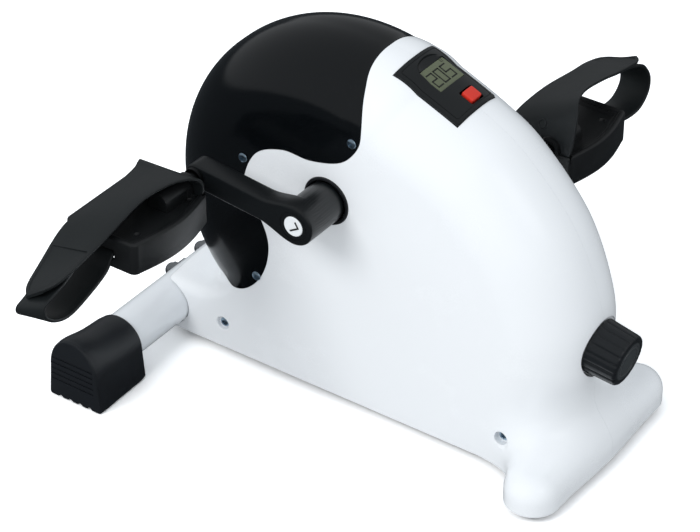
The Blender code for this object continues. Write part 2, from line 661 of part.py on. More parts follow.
def combine(target, operand, operation):
    """Cuts, joins or keeps the overlap of two solids, and drops the second one."""
    step = target.modifiers.new(operation.lower(), "BOOLEAN")
    step.operation = operation
    step.solver = "EXACT"
    step.object = operand
    graph = bpy.context.evaluated_depsgraph_get()
    result = bpy.data.meshes.new_from_object(target.evaluated_get(graph))
    target.modifiers.clear()
    target.data = result
    bpy.data.objects.remove(operand, do_unlink=True)
    result.shade_smooth()
    result.set_sharp_from_angle(angle=SMOOTH_ANGLE)
    return target


def cut(target, *tools):
    for tool in tools:
        combine(target, tool, "DIFFERENCE")
    return target


def join(target, *others):
    for other in others:
        combine(target, other, "UNION")
    return target


def keep(target, region):
    return combine(target, region, "INTERSECT")


def flatten(piece, degrees):
    """Dissolves edges between faces that lie flatter than an angle, then fills with triangles."""
    shape = bmesh.new()
    shape.from_mesh(piece.data)
    bmesh.ops.dissolve_limit(shape, angle_limit=math.radians(degrees), verts=shape.verts, edges=shape.edges)
    bmesh.ops.triangulate(shape, faces=shape.faces)
    shape.to_mesh(piece.data)
    shape.free()
    piece.data.shade_smooth()
    piece.data.set_sharp_from_angle(angle=SMOOTH_ANGLE)


def drop_crumbs(piece):
    """Keeps only the largest of the bodies that the cuts left."""
    shape = bmesh.new()
    shape.from_mesh(piece.data)
    left = set(shape.verts)
    bodies = []
    while left:
        body = set()
        front = [left.pop()]
        while front:
            vert = front.pop()
            body.add(vert)
            for edge in vert.link_edges:
                other = edge.other_vert(vert)
                if other in left:
                    left.remove(other)
                    front.append(other)
        bodies.append(body)
    bodies.sort(key=len)
    for body in bodies[:-1]:
        bmesh.ops.delete(shape, geom=list(body), context="VERTS")
    shape.to_mesh(piece.data)
    shape.free()


def block_shape(low, high):
    shape = bmesh.new()
    bmesh.ops.create_cube(shape, size=1.0)
    centre = (Vector(low) + Vector(high)) / 2
    bmesh.ops.scale(shape, vec=Vector(high) - Vector(low), verts=shape.verts)
    bmesh.ops.translate(shape, vec=centre, verts=shape.verts)
    return shape


def block(name, low, high):
    return make(name, block_shape(low, high))


def bevel(shape, edges, width, segments=2):
    bmesh.ops.bevel(shape, geom=edges, offset=width, segments=segments, affect="EDGES", profile=0.5)


def loft_shape(sections, closed=False):
    """A solid through rings of points; its two end rings are filled unless the loft closes on itself."""
    shape = bmesh.new()
    rings = [[shape.verts.new(p) for p in section] for section in sections]
    pairs = list(zip(rings, rings[1:])) + ([(rings[-1], rings[0])] if closed else [])
    for lower, upper in pairs:
        for i in range(len(lower)):
            k = (i + 1) % len(lower)
            shape.faces.new((lower[i], lower[k], upper[k], upper[i]))
    if not closed:
        shape.faces.new(rings[0])
        shape.faces.new(rings[-1])
    return shape


def turned_shape(profile, sides, hollow=False):
    """A solid turned about local Z from (radius, height) points; a hollow one closes its profile."""
    turns = [2 * math.pi * i / sides for i in range(sides)]
    rings = [[(radius * math.cos(turn), radius * math.sin(turn), height) for turn in turns]
             for radius, height in profile]
    return loft_shape(rings, hollow)


def along(x, y, z, direction):
    """Placement that lays local Z along a direction, with its foot at a point."""
    turn = Vector(direction).normalized().to_track_quat("Z", "Y")
    return Matrix.Translation((x, y, z)) @ turn.to_matrix().to_4x4()


def rod(name, x, z, start_y, end_y, radius, finish="zinc", sides=20, parent=None, bore=0.0):
    """A round bar or tube that lies along Y between two places, in either order."""
    low, high = sorted((start_y, end_y))
    profile = [(radius, 0.0), (radius, high - low)]
    if bore:
        profile += [(bore, high - low), (bore, 0.0)]
    return make(name, turned_shape(profile, sides, hollow=bool(bore)), finish,
                along(x, low, z, (0, 1, 0)), parent)


def prism(name, outline, start_y, end_y, finish="zinc", parent=None):
    """An outline in the XZ plane drawn out along Y."""
    shape = loft_shape([[(x, y, z) for x, z in outline] for y in (start_y, end_y)])
    return make(name, shape, finish, parent=parent)


def stadium_shape(profile, end_y):
    """A slot-shaped block: (radius, height) rings round two centres on the Y axis."""
    rings = []
    for radius, z in profile:
        ring = []
        for start, centre in ((0.0, end_y), (math.pi, -end_y)):
            for i in range(9):
                turn = start + math.pi * i / 8
                ring.append((radius * math.cos(turn), centre + radius * math.sin(turn), z))
        rings.append(ring)
    return loft_shape(rings)


def tube_shape(points, radius, sides):
    """A round bar along a line of points."""
    points = [Vector(p) for p in points]
    side = Vector((0, 1, 0)) if abs((points[1] - points[0]).normalized().y) < 0.9 else Vector((1, 0, 0))
    rings = []
    for i, point in enumerate(points):
        ahead = points[min(i + 1, len(points) - 1)] - points[max(i - 1, 0)]
        ahead.normalize()
        side = (side - ahead * side.dot(ahead)).normalized()
        up = ahead.cross(side)
        turns = [2 * math.pi * k / sides for k in range(sides)]
        rings.append([point + radius * (math.cos(turn) * side + math.sin(turn) * up) for turn in turns])
    return loft_shape(rings)


def box_tube(low, high, wall, axis):
    """Shape of a rectangular tube open at both ends along one axis."""
    others = [i for i in range(3) if i != axis]

    def ring(inset, at):
        corners = []
        for i, k in ((0, 0), (1, 0), (1, 1), (0, 1)):
            point = [0.0, 0.0, 0.0]
            point[axis] = at
            for other, pick in zip(others, (i, k)):
                point[other] = high[other] - inset if pick else low[other] + inset
            corners.append(tuple(point))
        return corners

    start, end = low[axis], high[axis]
    return loft_shape([ring(0.0, start), ring(0.0, end), ring(wall, end), ring(wall, start)], closed=True)


def cover_region(grow):
    """Everything inside the edge of the black cover, moved outwards by a distance."""
    edge = inward(spline(COVER_EDGE, 2), -grow)
    outline = [tuple(p) for p in np.vstack([edge, COVER_OUTSIDE])]
    return prism("cover_region", outline, -2 * CREST_RADIUS, 2 * CREST_RADIUS)


def skin_level(grid, level):
    """Closed solid out to one level of the skin; inner levels take every second station."""
    if level < 0.0:
        grid = [points[:, ::2] for points in grid]
    return make("skin_level", pillow_mesh(grid, level))


def monitor_frame():
    """Placement of the monitor: local X down the slope, local Y across, local Z out of the housing."""
    start = Vector((MONITOR_ENDS[0][0], 0.0, MONITOR_ENDS[0][1]))
    end = Vector((MONITOR_ENDS[1][0], 0.0, MONITOR_ENDS[1][1]))
    slope = (end - start).normalized()
    outward = Vector((-slope.z, 0.0, slope.x))
    turn = Matrix((slope, (0, 1, 0), outward)).transposed()
    return Matrix.Translation((start + end) / 2) @ turn.to_4x4()


def monitor_shape(grow, low, high):
    """Block of the monitor's outline, grown all round, between two heights over its seat."""
    half = math.dist(*MONITOR_ENDS) / 2 + grow
    width = MONITOR_HALF + grow
    return block_shape((-half, -width, low), (half, width, high))


def knob_frame():
    """Placement of the knob: local Z out of the housing, from the knob's base."""
    base = Vector((KNOB_BASE[0], 0.0, KNOB_BASE[1]))
    face = Vector((KNOB_FACE[0], 0.0, KNOB_FACE[1]))
    return along(*base, face - base)


def knob_cylinder(name, radius, low, high, sides=24):
    return make(name, turned_shape([(radius, low), (radius, high)], sides), place=knob_frame())


def screw_holes(piece, places, sides=(-1, 1)):
    """Small round holes through the side walls."""
    for x, z in places:
        for side in sides:
            cut(piece, rod("hole", x, z, side * BOSS_DEPTH / 2, side * (SIDE + RECESS_RADIUS * 3), SCREW_HOLE,
                           sides=8))


def housing(grid):
    """Both white halves in one body: skin, lip under the cover, monitor pocket, knob cup and bosses."""
    body = join(skin_level(grid, 0.0), make("flare", flare_mesh(0.0)))
    inside = join(skin_level(grid, -WALL), make("flare", flare_mesh(-WALL)))
    cut(body, inside, cover_region(PART_GAP))
    lip = cut(skin_level(grid, -LIP_START), skin_level(grid, -LIP_END), cover_region(-LIP_REACH))
    join(body, keep(lip, cover_region(LIP_ROOT)))

    under_skin = -PART_GAP
    pocket_floor = -MONITOR_DEPTH - PART_GAP
    pocket = make("pocket", monitor_shape(POCKET_WALL + PART_GAP, pocket_floor - WALL, THROUGH),
                  place=monitor_frame())
    cup = knob_cylinder("cup", CUP_RADIUS + CUP_WALL, -CUP_DEPTH - WALL, 3 * THROUGH)
    join(body, keep(pocket, skin_level(grid, under_skin)), keep(cup, skin_level(grid, under_skin)))
    lead_hole = turned_shape([(LEAD_HOLE, -3 * THROUGH), (LEAD_HOLE, 0.0)], 10)
    bmesh.ops.translate(lead_hole, vec=(LEAD_HOLE_X, 0.0, 0.0), verts=lead_hole.verts)
    cut(body, make("recess", monitor_shape(PART_GAP, pocket_floor, 3 * THROUGH), place=monitor_frame()),
        make("lead_hole", lead_hole, place=monitor_frame()),
        knob_cylinder("recess", CUP_RADIUS, -CUP_DEPTH, 5 * THROUGH),
        knob_cylinder("spindle_hole", SPINDLE_HOLE, -3 * THROUGH, 3 * THROUGH, 16))

    outside = SIDE + 2 * THROUGH
    for side in (-1, 1):
        for x, z in LOW_SCREWS:
            face = skin_y(x, z)
            join(body, rod("boss", x, z, side * BOSS_DEPTH, side * (face - PART_GAP * 3),
                           RECESS_RADIUS + COVER_WALL, sides=12))
            seat = side * (face - RECESS_DEPTH)
            cut(body, rod("recess", x, z, seat, side * outside, RECESS_RADIUS, sides=14))
        cut(body, rod("ring_hole", CRANK_X, CRANK_Z, side * BOSS_DEPTH / 2, side * outside,
                      RING_OUTER + PART_GAP, sides=24))
    screw_holes(body, LOW_SCREWS + COVER_SCREWS)
    room = TUBE_RADIUS + 2 * PART_GAP
    cut(body, rod("tube_notch", TUBE_X, TUBE_Z, -2 * outside, 2 * outside, room, sides=TUBE_SIDES),
        block("tube_gap", (TUBE_X - 2 * room, -2 * outside, -outside), (TUBE_X, 2 * outside, TUBE_Z)))
    return body


def housing_halves(grid):
    """The white housing, parted on its middle plane."""
    body = housing(grid)
    right = bpy.data.objects.new("right_shell", body.data.copy())
    bpy.context.scene.collection.objects.link(right)
    body.name = "left_shell"
    middle = PART_GAP / 2
    for half, start, end in ((body, -FAR_OUT, -middle), (right, middle, FAR_OUT)):
        keep(half, block("region", (-FAR_OUT, start, HOUSING_BASE), (FAR_OUT, end, FAR_OUT)))
        drop_crumbs(half)
        flatten(half, SKIN_FLAT)
        half.data.materials.clear()
        half.data.materials.append(finish_of("white_plastic"))


def front_cover(grid):
    """Thin black shell over the drum, held by three screws on each side."""
    cover = cut(skin_level(grid, 0.0), skin_level(grid, -COVER_WALL))
    keep(cover, cover_region(0.0))
    flatten(cover, SKIN_FLAT)
    cover.name = "front_cover"
    cover.data.materials.clear()
    cover.data.materials.append(finish_of("black_gloss"))
    screw_holes(cover, COVER_SCREWS)


def screw_shape():
    """A pan-head screw on local Z: the shaft below the seat at zero, the domed head above it."""
    profile = [(SCREW_SHAFT, -SCREW_LENGTH), (SCREW_SHAFT, 0.0), (SCREW_HEAD, 0.0),
               (SCREW_HEAD, SCREW_RISE * 0.5), (SCREW_HEAD * 0.6, SCREW_RISE)]
    return turned_shape(profile, 7)


def housing_screws():
    """Three small screws on each side through the black cover, and two low on each white half."""
    for word, side in SIDES:
        for i, (x, z) in enumerate(COVER_SCREWS):
            make(f"{word}_cover_screw_{i + 1}", screw_shape(), "zinc",
                 along(x, side * (skin_y(x, z) + PART_GAP), z, (0, side, 0)))
        for i, (x, z) in enumerate(LOW_SCREWS):
            seat = skin_y(x, z) - RECESS_DEPTH + PART_GAP
            make(f"{word}_shell_screw_{i + 1}", screw_shape(), "zinc",
                 along(x, side * seat, z, (0, side, 0)))


def bush_rings():
    """Flanged rings that line the holes for the cranks."""
    profile = [(RING_INNER, 0.0), (RING_FLANGE, 0.0), (RING_FLANGE, RING_FLANGE_THICK),
               (RING_OUTER, RING_FLANGE_THICK), (RING_OUTER, RING_LENGTH), (RING_INNER, RING_LENGTH)]
    for word, side in SIDES:
        make(word + "_bush_ring", turned_shape(profile, 20, hollow=True), "black_satin",
             along(CRANK_X, side * (RING_FACE - RING_LENGTH), CRANK_Z, (0, side, 0)))


def grown_block(low, high, side_gap, floor, top):
    """Room for a piece: its block, wider all round and between two other heights."""
    return block_shape((low[0] - side_gap, low[1] - side_gap, floor),
                       (high[0] + side_gap, high[1] + side_gap, top))


def monitor():
    """Case with rounded corners, sunk in the housing, with a display window and one sprung button."""
    place = monitor_frame()
    shape = monitor_shape(0.0, -MONITOR_DEPTH, MONITOR_PROUD)
    upright = [edge for edge in shape.edges if edge.verts[0].co.z * edge.verts[1].co.z < 0.0]
    bevel(shape, upright, MONITOR_CORNER, 4)
    top = [edge for edge in shape.edges if min(v.co.z for v in edge.verts) > 0.0]
    bevel(shape, top, MONITOR_PROUD * 0.75)
    case = make("monitor_case", shape, "grey_plastic", place)
    cut(case, make("lens_seat", grown_block(LENS_LOW, LENS_HIGH, PART_GAP, LENS_LOW[2] - PART_GAP, THROUGH),
                   place=place),
        make("button_well", grown_block(BUTTON_LOW, BUTTON_HIGH, BUTTON_GAP, -BUTTON_WELL, THROUGH),
             place=place))
    make("lcd_window", block_shape(LENS_LOW, LENS_HIGH), "lcd_glass", place)
    cap = block_shape(BUTTON_LOW, BUTTON_HIGH)
    bevel(cap, [e for e in cap.edges if max(v.co.z for v in e.verts) > 0.0], BUTTON_HIGH[2] * 0.85)
    make("red_button", cap, "red_plastic", place)


def bolt_holes(piece, start, length):
    """Holes for both stabiliser bolts, drilled towards +X from a place."""
    for side in (-1, 1):
        cut(piece, make("hole", turned_shape([(BOLT_HOLE, 0.0), (BOLT_HOLE, length)], BOLT_SIDES),
                        place=along(start, side * BOLT_Y, TUBE_Z, (1, 0, 0))))


def saddle():
    """Curved plate that the stabiliser tube is bolted against, with a short neck to the keel."""
    inner, outer = TUBE_RADIUS + PART_GAP, TUBE_RADIUS + PART_GAP + SADDLE_WALL
    outline = (arc_points(TUBE_X, TUBE_Z, outer, -SADDLE_ARC, SADDLE_ARC, 8)
               + arc_points(TUBE_X, TUBE_Z, inner, SADDLE_ARC, -SADDLE_ARC, 8))
    return join(prism("saddle", outline, -SADDLE_HALF, SADDLE_HALF), block("neck", *NECK))


def wheel_plate(side, near):
    """Upright plate that holds one end of the flywheel axle."""
    outline = list(PLATE_BASE) + arc_points(WHEEL_X, WHEEL_Z, PLATE_RADIUS, 10, 170, 6)
    far = near + PLATE_THICK
    plate = prism("plate", outline, side * near, side * far)
    if side == 1:
        join(plate, block("foot", *PLATE_FOOT))
    return cut(plate, rod("hole", WHEEL_X, WHEEL_Z, side * (near - THROUGH), side * (far + THROUGH),
                          WHEEL_AXLE_RADIUS + 2 * PART_GAP, sides=12))


def brake_ear(start_y, end_y):
    """Lug on the keel that holds one end of the brake's pivot pin."""
    half, foot = EAR_FOOT
    outline = [(HINGE_X - half, foot), (HINGE_X + half, foot)]
    ear = prism("ear", outline + arc_points(HINGE_X, HINGE_Z, EAR_RADIUS, 0, 180, 6), start_y, end_y)
    return cut(ear, rod("hole", HINGE_X, HINGE_Z, start_y - THROUGH, end_y + THROUGH, PIN_RADIUS + PART_GAP,
                        sides=12))


def welded_frame():
    """Keel, cross tube, saddle plate, post, bottom bracket, wheel plates and brake ears in one weldment."""
    body = make("welded_frame", box_tube(*KEEL, FRAME_WALL, 0), "black_steel")
    join(body, make("cross", box_tube(*CROSS_TUBE, FRAME_WALL, 1)))
    post = make("post", box_tube(*POST, FRAME_WALL, 2))
    seat = BRACKET_RADIUS - BRACKET_OVERLAP
    cut(post, rod("bracket_seat", CRANK_X, CRANK_Z, -FAR_OUT, FAR_OUT, seat, sides=20))
    join(body, post)
    inner_low = Vector(POST[0]) + Vector((FRAME_WALL, FRAME_WALL, 0.0))
    inner_high = Vector(POST[1]) - Vector((FRAME_WALL, FRAME_WALL, 0.0))
    cut(body, block("opening", (inner_low.x, inner_low.y, KEEL[0][2] + 2 * FRAME_WALL),
                    (inner_high.x, inner_high.y, KEEL[1][2] + 4 * FRAME_WALL)))
    join(body, rod("bottom_bracket", CRANK_X, CRANK_Z, *BRACKET_ENDS, BRACKET_RADIUS, sides=20,
                   bore=BRACKET_BORE))
    join(body, saddle())
    bolt_holes(body, TUBE_X + THROUGH, 3 * THROUGH)
    for side, near in PLATE_NEAR:
        join(body, wheel_plate(side, near))
    for ends in EAR_ENDS:
        join(body, brake_ear(*ends))


def dome_nut(name, side):
    """Dome nut with the curved washer that spreads it on the tube."""
    nut = make(name, turned_shape(NUT_SECTION, 10, hollow=True), "zinc",
               along(NUT_SEAT, side * BOLT_Y, TUBE_Z, (-1, 0, 0)))
    inner = TUBE_RADIUS + PART_GAP
    start, end = 180 - WASHER_ARC, 180 + WASHER_ARC
    plate = (arc_points(TUBE_X, TUBE_Z, inner + WASHER_THICK, start, end, 5)
             + arc_points(TUBE_X, TUBE_Z, inner, end, start, 5))
    washer = prism("washer", plate, side * BOLT_Y - WASHER_HALF, side * BOLT_Y + WASHER_HALF)
    bolt_holes(washer, NUT_SEAT - THROUGH, 2 * THROUGH)
    join(nut, washer)


def stabiliser():
    """Steel tube across the tail, held to the saddle by two carriage bolts."""
    tube = rod("stabiliser_tube", TUBE_X, TUBE_Z, -TUBE_END, TUBE_END, TUBE_RADIUS, "white_paint", TUBE_SIDES,
               bore=TUBE_RADIUS - TUBE_WALL)
    bolt_holes(tube, TUBE_X - TUBE_RADIUS - THROUGH, 6 * THROUGH)
    for word, side in SIDES:
        make(word + "_stabiliser_bolt", turned_shape(BOLT_HEAD, BOLT_SIDES), "zinc",
             along(BOLT_END, side * BOLT_Y, TUBE_Z, (-1, 0, 0)))
        dome_nut(word + "_dome_nut", side)


def cap_outline(half, top, inset):
    """Section of an end cap: flat sole, upright sides and an arched top."""
    half = half - inset
    height = top - TUBE_Z - inset
    points = [(CAP_MIDDLE + half - CAP_CORNER, inset), (CAP_MIDDLE + half, inset + CAP_CORNER)]
    for i in range(9):
        turn = math.pi * i / 8
        points.append((CAP_MIDDLE + half * math.cos(turn), TUBE_Z + height * math.sin(turn)))
    return points + [(CAP_MIDDLE - half, inset + CAP_CORNER), (CAP_MIDDLE - half + CAP_CORNER, inset)]


def end_cap(name, side):
    """Soft cap on one end of the tube, with grooves across its sole and ribs on its end."""
    rings = [[(x, side * y, z) for x, z in cap_outline(half, top, inset)]
             for y, half, top, inset in CAP_SECTIONS]
    cap = make(name, loft_shape(rings), "black_pvc")
    for y in SOLE_GROOVES:
        groove = turned_shape([(SOLE_GROOVE_RADIUS, -4 * THROUGH), (SOLE_GROOVE_RADIUS, 4 * THROUGH)], 8)
        cut(cap, make("groove", groove, place=along(CAP_MIDDLE, side * y, SOLE_GROOVE_Z, (1, 0, 0))))
    cut(cap, rod("bore", TUBE_X, TUBE_Z, side * (CAP_START - THROUGH), side * (TUBE_END + PART_GAP),
                 TUBE_RADIUS + 0.0004, sides=TUBE_SIDES))
    near, far = sorted((side * (CAP_END - RIB_DEPTH), side * (CAP_END + RIB_DEPTH)))
    for i in range(RIB_GAPS):
        z = RIB_START + RIB_STEP * i
        cut(cap, block("rib_gap", (CAP_MIDDLE - 3 * THROUGH, near, z),
                       (CAP_MIDDLE + 3 * THROUGH, far, z + RIB_GAP)))


def front_foot_pad():
    """Rubber sole under the front foot; its plug stands in the open underside."""
    profile = ((PAD_RADIUS - PAD_EDGE, 0.0), (PAD_RADIUS, PAD_EDGE), (PAD_RADIUS, PAD_TOP),
               (PAD_PLUG_RADIUS, PAD_TOP), (PAD_PLUG_RADIUS, PAD_PLUG_TOP))
    make("front_foot_pad", stadium_shape(profile, PAD_END_Y), "black_rubber")


def flywheel_group():
    """Flywheel with a heavy rim, its small pulley and two bearings, on a fixed axle with two nuts."""
    holder = pivot("flywheel_axis", WHEEL_X, 0.0, WHEEL_Z)
    place = along(WHEEL_X, 0.0, WHEEL_Z, (0, 1, 0))
    make("flywheel", turned_shape(WHEEL_SECTION, 24, hollow=True), "cast_iron", place, holder)
    make("flywheel_pulley", turned_shape(SMALL_SECTION, 14, hollow=True), "black_satin", place, holder)
    for name, radius, start, end in WHEEL_BEARINGS:
        rod(name, WHEEL_X, WHEEL_Z, start, end, radius, "bright_steel", 14, holder, WHEEL_BORE)
    axle = rod("flywheel_axle", WHEEL_X, WHEEL_Z, *WHEEL_AXLE_ENDS, WHEEL_AXLE_RADIUS, "bright_steel", 14)
    for y in WHEEL_NUTS:
        nut = turned_shape([(WHEEL_NUT_RADIUS, y), (WHEEL_NUT_RADIUS, y + WHEEL_NUT_HEIGHT)], 6)
        join(axle, make("nut", nut, place=place))


def belt_loop(gap):
    """Outline of the belt round both pulleys, in the XZ plane, at a gap from their rims."""
    big, small = BIG_PULLEY + gap, SMALL_PULLEY + gap
    dx, dz = WHEEL_X - CRANK_X, WHEEL_Z - CRANK_Z
    heading = math.degrees(math.atan2(dz, dx))
    lean = math.degrees(math.acos((big - small) / math.hypot(dx, dz)))
    return (arc_points(CRANK_X, CRANK_Z, big, heading + lean, heading + 360 - lean, 36)
            + arc_points(WHEEL_X, WHEEL_Z, small, heading - lean, heading + lean, 8))


def drive_belt():
    """Flat belt from the large pulley to the small one."""
    outer, inner = belt_loop(BELT_OUTER), belt_loop(BELT_INNER)
    low, high = PULLEY_LOW + BELT_EDGE, PULLEY_HIGH - BELT_EDGE
    corners = ((outer, low), (outer, high), (inner, high), (inner, low))
    rings = [[(x, y, z) for x, z in line] for line, y in corners]
    make("drive_belt", loft_shape(rings, closed=True), "black_rubber")


def crank_group():
    """Spindle in its bearings with the large pulley, and on each side an arm that carries a pedal."""
    crank = pivot("crank_axis", CRANK_X, 0.0, CRANK_Z)
    spindle = rod("crank_spindle", CRANK_X, CRANK_Z, -SPINDLE_END, SPINDLE_END, SPINDLE_RADIUS,
                  "bright_steel", 16, crank)
    for name, start in CRANK_BEARINGS:
        rod(name, CRANK_X, CRANK_Z, start, start + CRANK_BEARING_WIDTH, CRANK_BEARING_RADIUS,
            "bright_steel", 16, bore=CRANK_BEARING_BORE)
    make("crank_pulley", turned_shape(BIG_SECTION, 32, hollow=True), "black_satin",
         along(CRANK_X, 0.0, CRANK_Z, (0, 1, 0)), crank)
    for word, side in SIDES:
        angle = CRANK_ANGLE if side < 0 else CRANK_ANGLE - math.pi
        eye_x, eye_z = arc_points(CRANK_X, CRANK_Z, CRANK_LENGTH, *[math.degrees(angle)] * 2, 1)[0]
        crank_arm(word, side, angle, (eye_x, eye_z), crank)
        place = along(CRANK_X, side * SPINDLE_END, CRANK_Z, (0, side, 0))
        join(spindle, make("bolt", turned_shape(CRANK_BOLT, 6), place=place))
        foot_group(word, side, eye_x, eye_z, crank)


def arm_outline(grow):
    """Outline of a crank arm from its boss, flaring in, to its round end, along local X."""
    boss, half = BOSS_RADIUS + grow, ARM_HALF + grow
    upper = []
    for i in range(7):
        turn = math.pi - (math.pi / 2) * i / 6
        upper.append((boss * math.cos(turn), boss * math.sin(turn)))
    for i in range(1, 6):
        share = i / 5
        upper.append((share * (BOSS_RADIUS + ARM_FLARE), half + (boss - half) * (1 - smooth_step(share))))
    for i in range(5):
        turn = math.pi / 2 * (1 - i / 4)
        upper.append((CRANK_LENGTH + half * math.cos(turn), half * math.sin(turn)))
    lower = [(x, -z) for x, z in reversed(upper[1:-1])]
    return upper + lower


def crank_arm(word, side, angle, eye, parent):
    """Forged arm: a long round boss on the spindle and a flat blade that ends in the pedal eye."""
    turn = Matrix.Translation((CRANK_X, 0.0, CRANK_Z)) @ Matrix.Rotation(-angle, 4, "Y")
    rings = [[(x, side * y, z) for x, z in arm_outline(grow)]
             for y, grow in ((ARM_INNER, -ARM_ROUND), (ARM_INNER + ARM_ROUND, 0.0),
                             (ARM_OUTER - ARM_ROUND, 0.0), (ARM_OUTER, -ARM_ROUND))]
    arm = make(word + "_crank_arm", loft_shape(rings), "black_satin", turn, parent)
    boss = make("boss", turned_shape(BOSS_SECTION, 20),
                place=along(CRANK_X, side * BOSS_INNER, CRANK_Z, (0, side, 0)))
    inside, outside = side * (BOSS_INNER - THROUGH), side * (ARM_OUTER + THROUGH)
    cut(join(arm, boss),
        rod("spindle_hole", CRANK_X, CRANK_Z, inside, side * ARM_OUTER, SPINDLE_RADIUS + 2 * PART_GAP,
            sides=16),
        rod("cap_seat", CRANK_X, CRANK_Z, side * (ARM_OUTER - CAP_DEPTH), outside, CAP_SEAT, sides=16),
        rod("eye", *eye, inside, outside, EYE_RADIUS, sides=12))
    make(word + "_crank_cap", turned_shape(CAP_SECTION, 16), "white_plastic",
         along(CRANK_X, side * (ARM_OUTER - CAP_DEPTH), CRANK_Z, (0, side, 0)), parent)
    make(word + "_pedal_axle", turned_shape(AXLE_SECTION, 16), "bright_steel",
         along(eye[0], side * ARM_INNER, eye[1], (0, side, 0)), parent)


def foot_group(word, side, x, z, crank):
    """A pedal with its two straps, turning on the axle at the end of a crank."""
    axis = pivot(word + "_pedal_pivot", x, 0.0, z)
    axis.parent = crank
    axis.matrix_parent_inverse = crank.matrix_basis.inverted()
    pedal(word + "_pedal", side, x, z, axis)
    straps(word, side, x, z, axis)


def pedal_outline(grow):
    """Plan of the pedal from above, as (x, y) from the axle, with rounded corners and a bowed heel."""
    inner, outer = PEDAL_INNER - grow, PEDAL_OUTER + grow
    toe, heel = PEDAL_TOE - grow, PEDAL_HEEL + grow
    corner = max(PEDAL_CORNER + grow, 4 * PART_GAP)
    points = []
    for cx, cy, start in ((toe + corner, inner + corner, 180), (heel - corner, inner + corner, 270),
                          (heel - corner, outer - corner, 0), (toe + corner, outer - corner, 90)):
        if start == 0:
            for i in range(1, 6):
                bow = PEDAL_BOW * math.sin(math.pi * i / 6)
                points.append((heel + bow, inner + corner + (outer - inner - 2 * corner) * i / 6))
        points += arc_points(cx, cy, corner, start, start + 90, 3)
    return points


def pedal(name, side, x, z, parent):
    """Moulded pedal: a dished deck on a bowed wall, ribs below, and a tunnel over the axle."""
    levels = ((PEDAL_BOTTOM, -0.0020), (PEDAL_BOTTOM + 0.0020, 0.0), (PEDAL_TOP - 0.0012, 0.0),
              (PEDAL_TOP, -0.0012), (PEDAL_TOP, -PEDAL_RIM), (PEDAL_TOP - PEDAL_DISH, -PEDAL_RIM - 0.0013))
    rings = [[(x + px, side * py, z + level) for px, py in pedal_outline(grow)] for level, grow in levels]
    body = make(name, loft_shape(rings), "black_pvc", parent=parent)
    start, end = sorted((side * (PEDAL_INNER + 0.0002), side * TUNNEL_END))
    join(body, rod("tunnel", x, z, start, end, TUNNEL_RADIUS),
         block("tunnel_foot", (x - TUNNEL_RADIUS, start, z - 0.0080), (x + TUNNEL_RADIUS, end, z)))
    cut(body, pedal_hollow(side, x, z))
    cut(body, rod("bore", x, z, side * (PEDAL_INNER - THROUGH), side * BORE_END, AXLE_BORE, sides=16))
    near, far = sorted(side * y for y in INNER_SLOT_Y)
    for start, end in INNER_SLOTS_X:
        cut(body, block("slot", (x + start, near, z - INNER_SLOT_DEPTH), (x + end, far, z + THROUGH)))
    near, far = sorted(side * y for y in OUTER_SLOT_Y)
    cut(body, block("slot", (x + OUTER_SLOT_X[0], near, z + OUTER_SLOT_Z[0]),
                    (x + OUTER_SLOT_X[1], far, z + OUTER_SLOT_Z[1])))


def pedal_hollow(side, x, z):
    """Space under the deck, crossed by two ribs one way and one the other."""
    under = [[(x + px, side * py, z + level) for px, py in pedal_outline(-PEDAL_SHELL)]
             for level in (PEDAL_BOTTOM - PEDAL_SHELL, PEDAL_TOP - PEDAL_DECK - 0.0018)]
    hollow = make("hollow", loft_shape(under))
    low = z - 5 * THROUGH
    near, far = sorted((side * (PEDAL_INNER - THROUGH), side * (PEDAL_OUTER + THROUGH)))
    for px in PEDAL_RIBS_X:
        cut(hollow, block("rib", (x + px - PEDAL_RIB, near, low), (x + px + PEDAL_RIB, far, z)))
    near, far = sorted((side * (PEDAL_RIB_Y - PEDAL_RIB), side * (PEDAL_RIB_Y + PEDAL_RIB)))
    return cut(hollow, block("rib", (x + PEDAL_TOE - THROUGH, near, low),
                             (x + PEDAL_HEEL + 2 * THROUGH, far, z)))


def strap(name, side, x, z, path, parent):
    """A flat band that follows its path, with a section square to the path at every step."""
    line = spline(path, STRAP_STEPS)
    heading = np.gradient(np.column_stack([line[:, 0], line[:, 1:3].mean(axis=1)]), axis=0)
    heading /= np.linalg.norm(heading, axis=1)[:, None]
    rings = []
    for (y, toe_z, heel_z, toe_x, heel_x), (run, rise) in zip(line, heading):
        ring = []
        for edge_x, edge_z, face in ((toe_x, toe_z, 0.5), (heel_x, heel_z, 0.5), (heel_x, heel_z, -0.5),
                                     (toe_x, toe_z, -0.5)):
            shift = STRAP_THICK * face
            ring.append((x + edge_x, side * (y - rise * shift), z + edge_z + run * shift))
        rings.append(ring)
    return make(name, loft_shape(rings), "black_rubber", parent=parent)


def straps(word, side, x, z, parent):
    """The wide strap over the foot, notched round the tunnel, and the narrow one that comes up to meet it."""
    inner_path, outer_path = (LEFT_INNER, LEFT_OUTER) if side < 0 else (RIGHT_INNER, RIGHT_OUTER)
    inner = strap(word + "_inner_strap", side, x, z, inner_path, parent)
    room = TUNNEL_RADIUS + STRAP_TUNNEL_GAP
    near, far = sorted((side * (PEDAL_INNER - 2 * THROUGH), side * (TUNNEL_END + THROUGH)))
    cut(inner, rod("tunnel_space", x, z, near, far, room, sides=16),
        block("tunnel_space", (x - room, near, z - 2 * THROUGH), (x + room, far, z)))
    strap(word + "_outer_strap", side, x, z, outer_path, parent)


def rim_arc(inner, outer, start, end):
    """Outline of a strip that follows the flywheel rim between two angles."""
    return (arc_points(WHEEL_X, WHEEL_Z, outer, start, end, 8)
            + arc_points(WHEEL_X, WHEEL_Z, inner, end, start, 8))


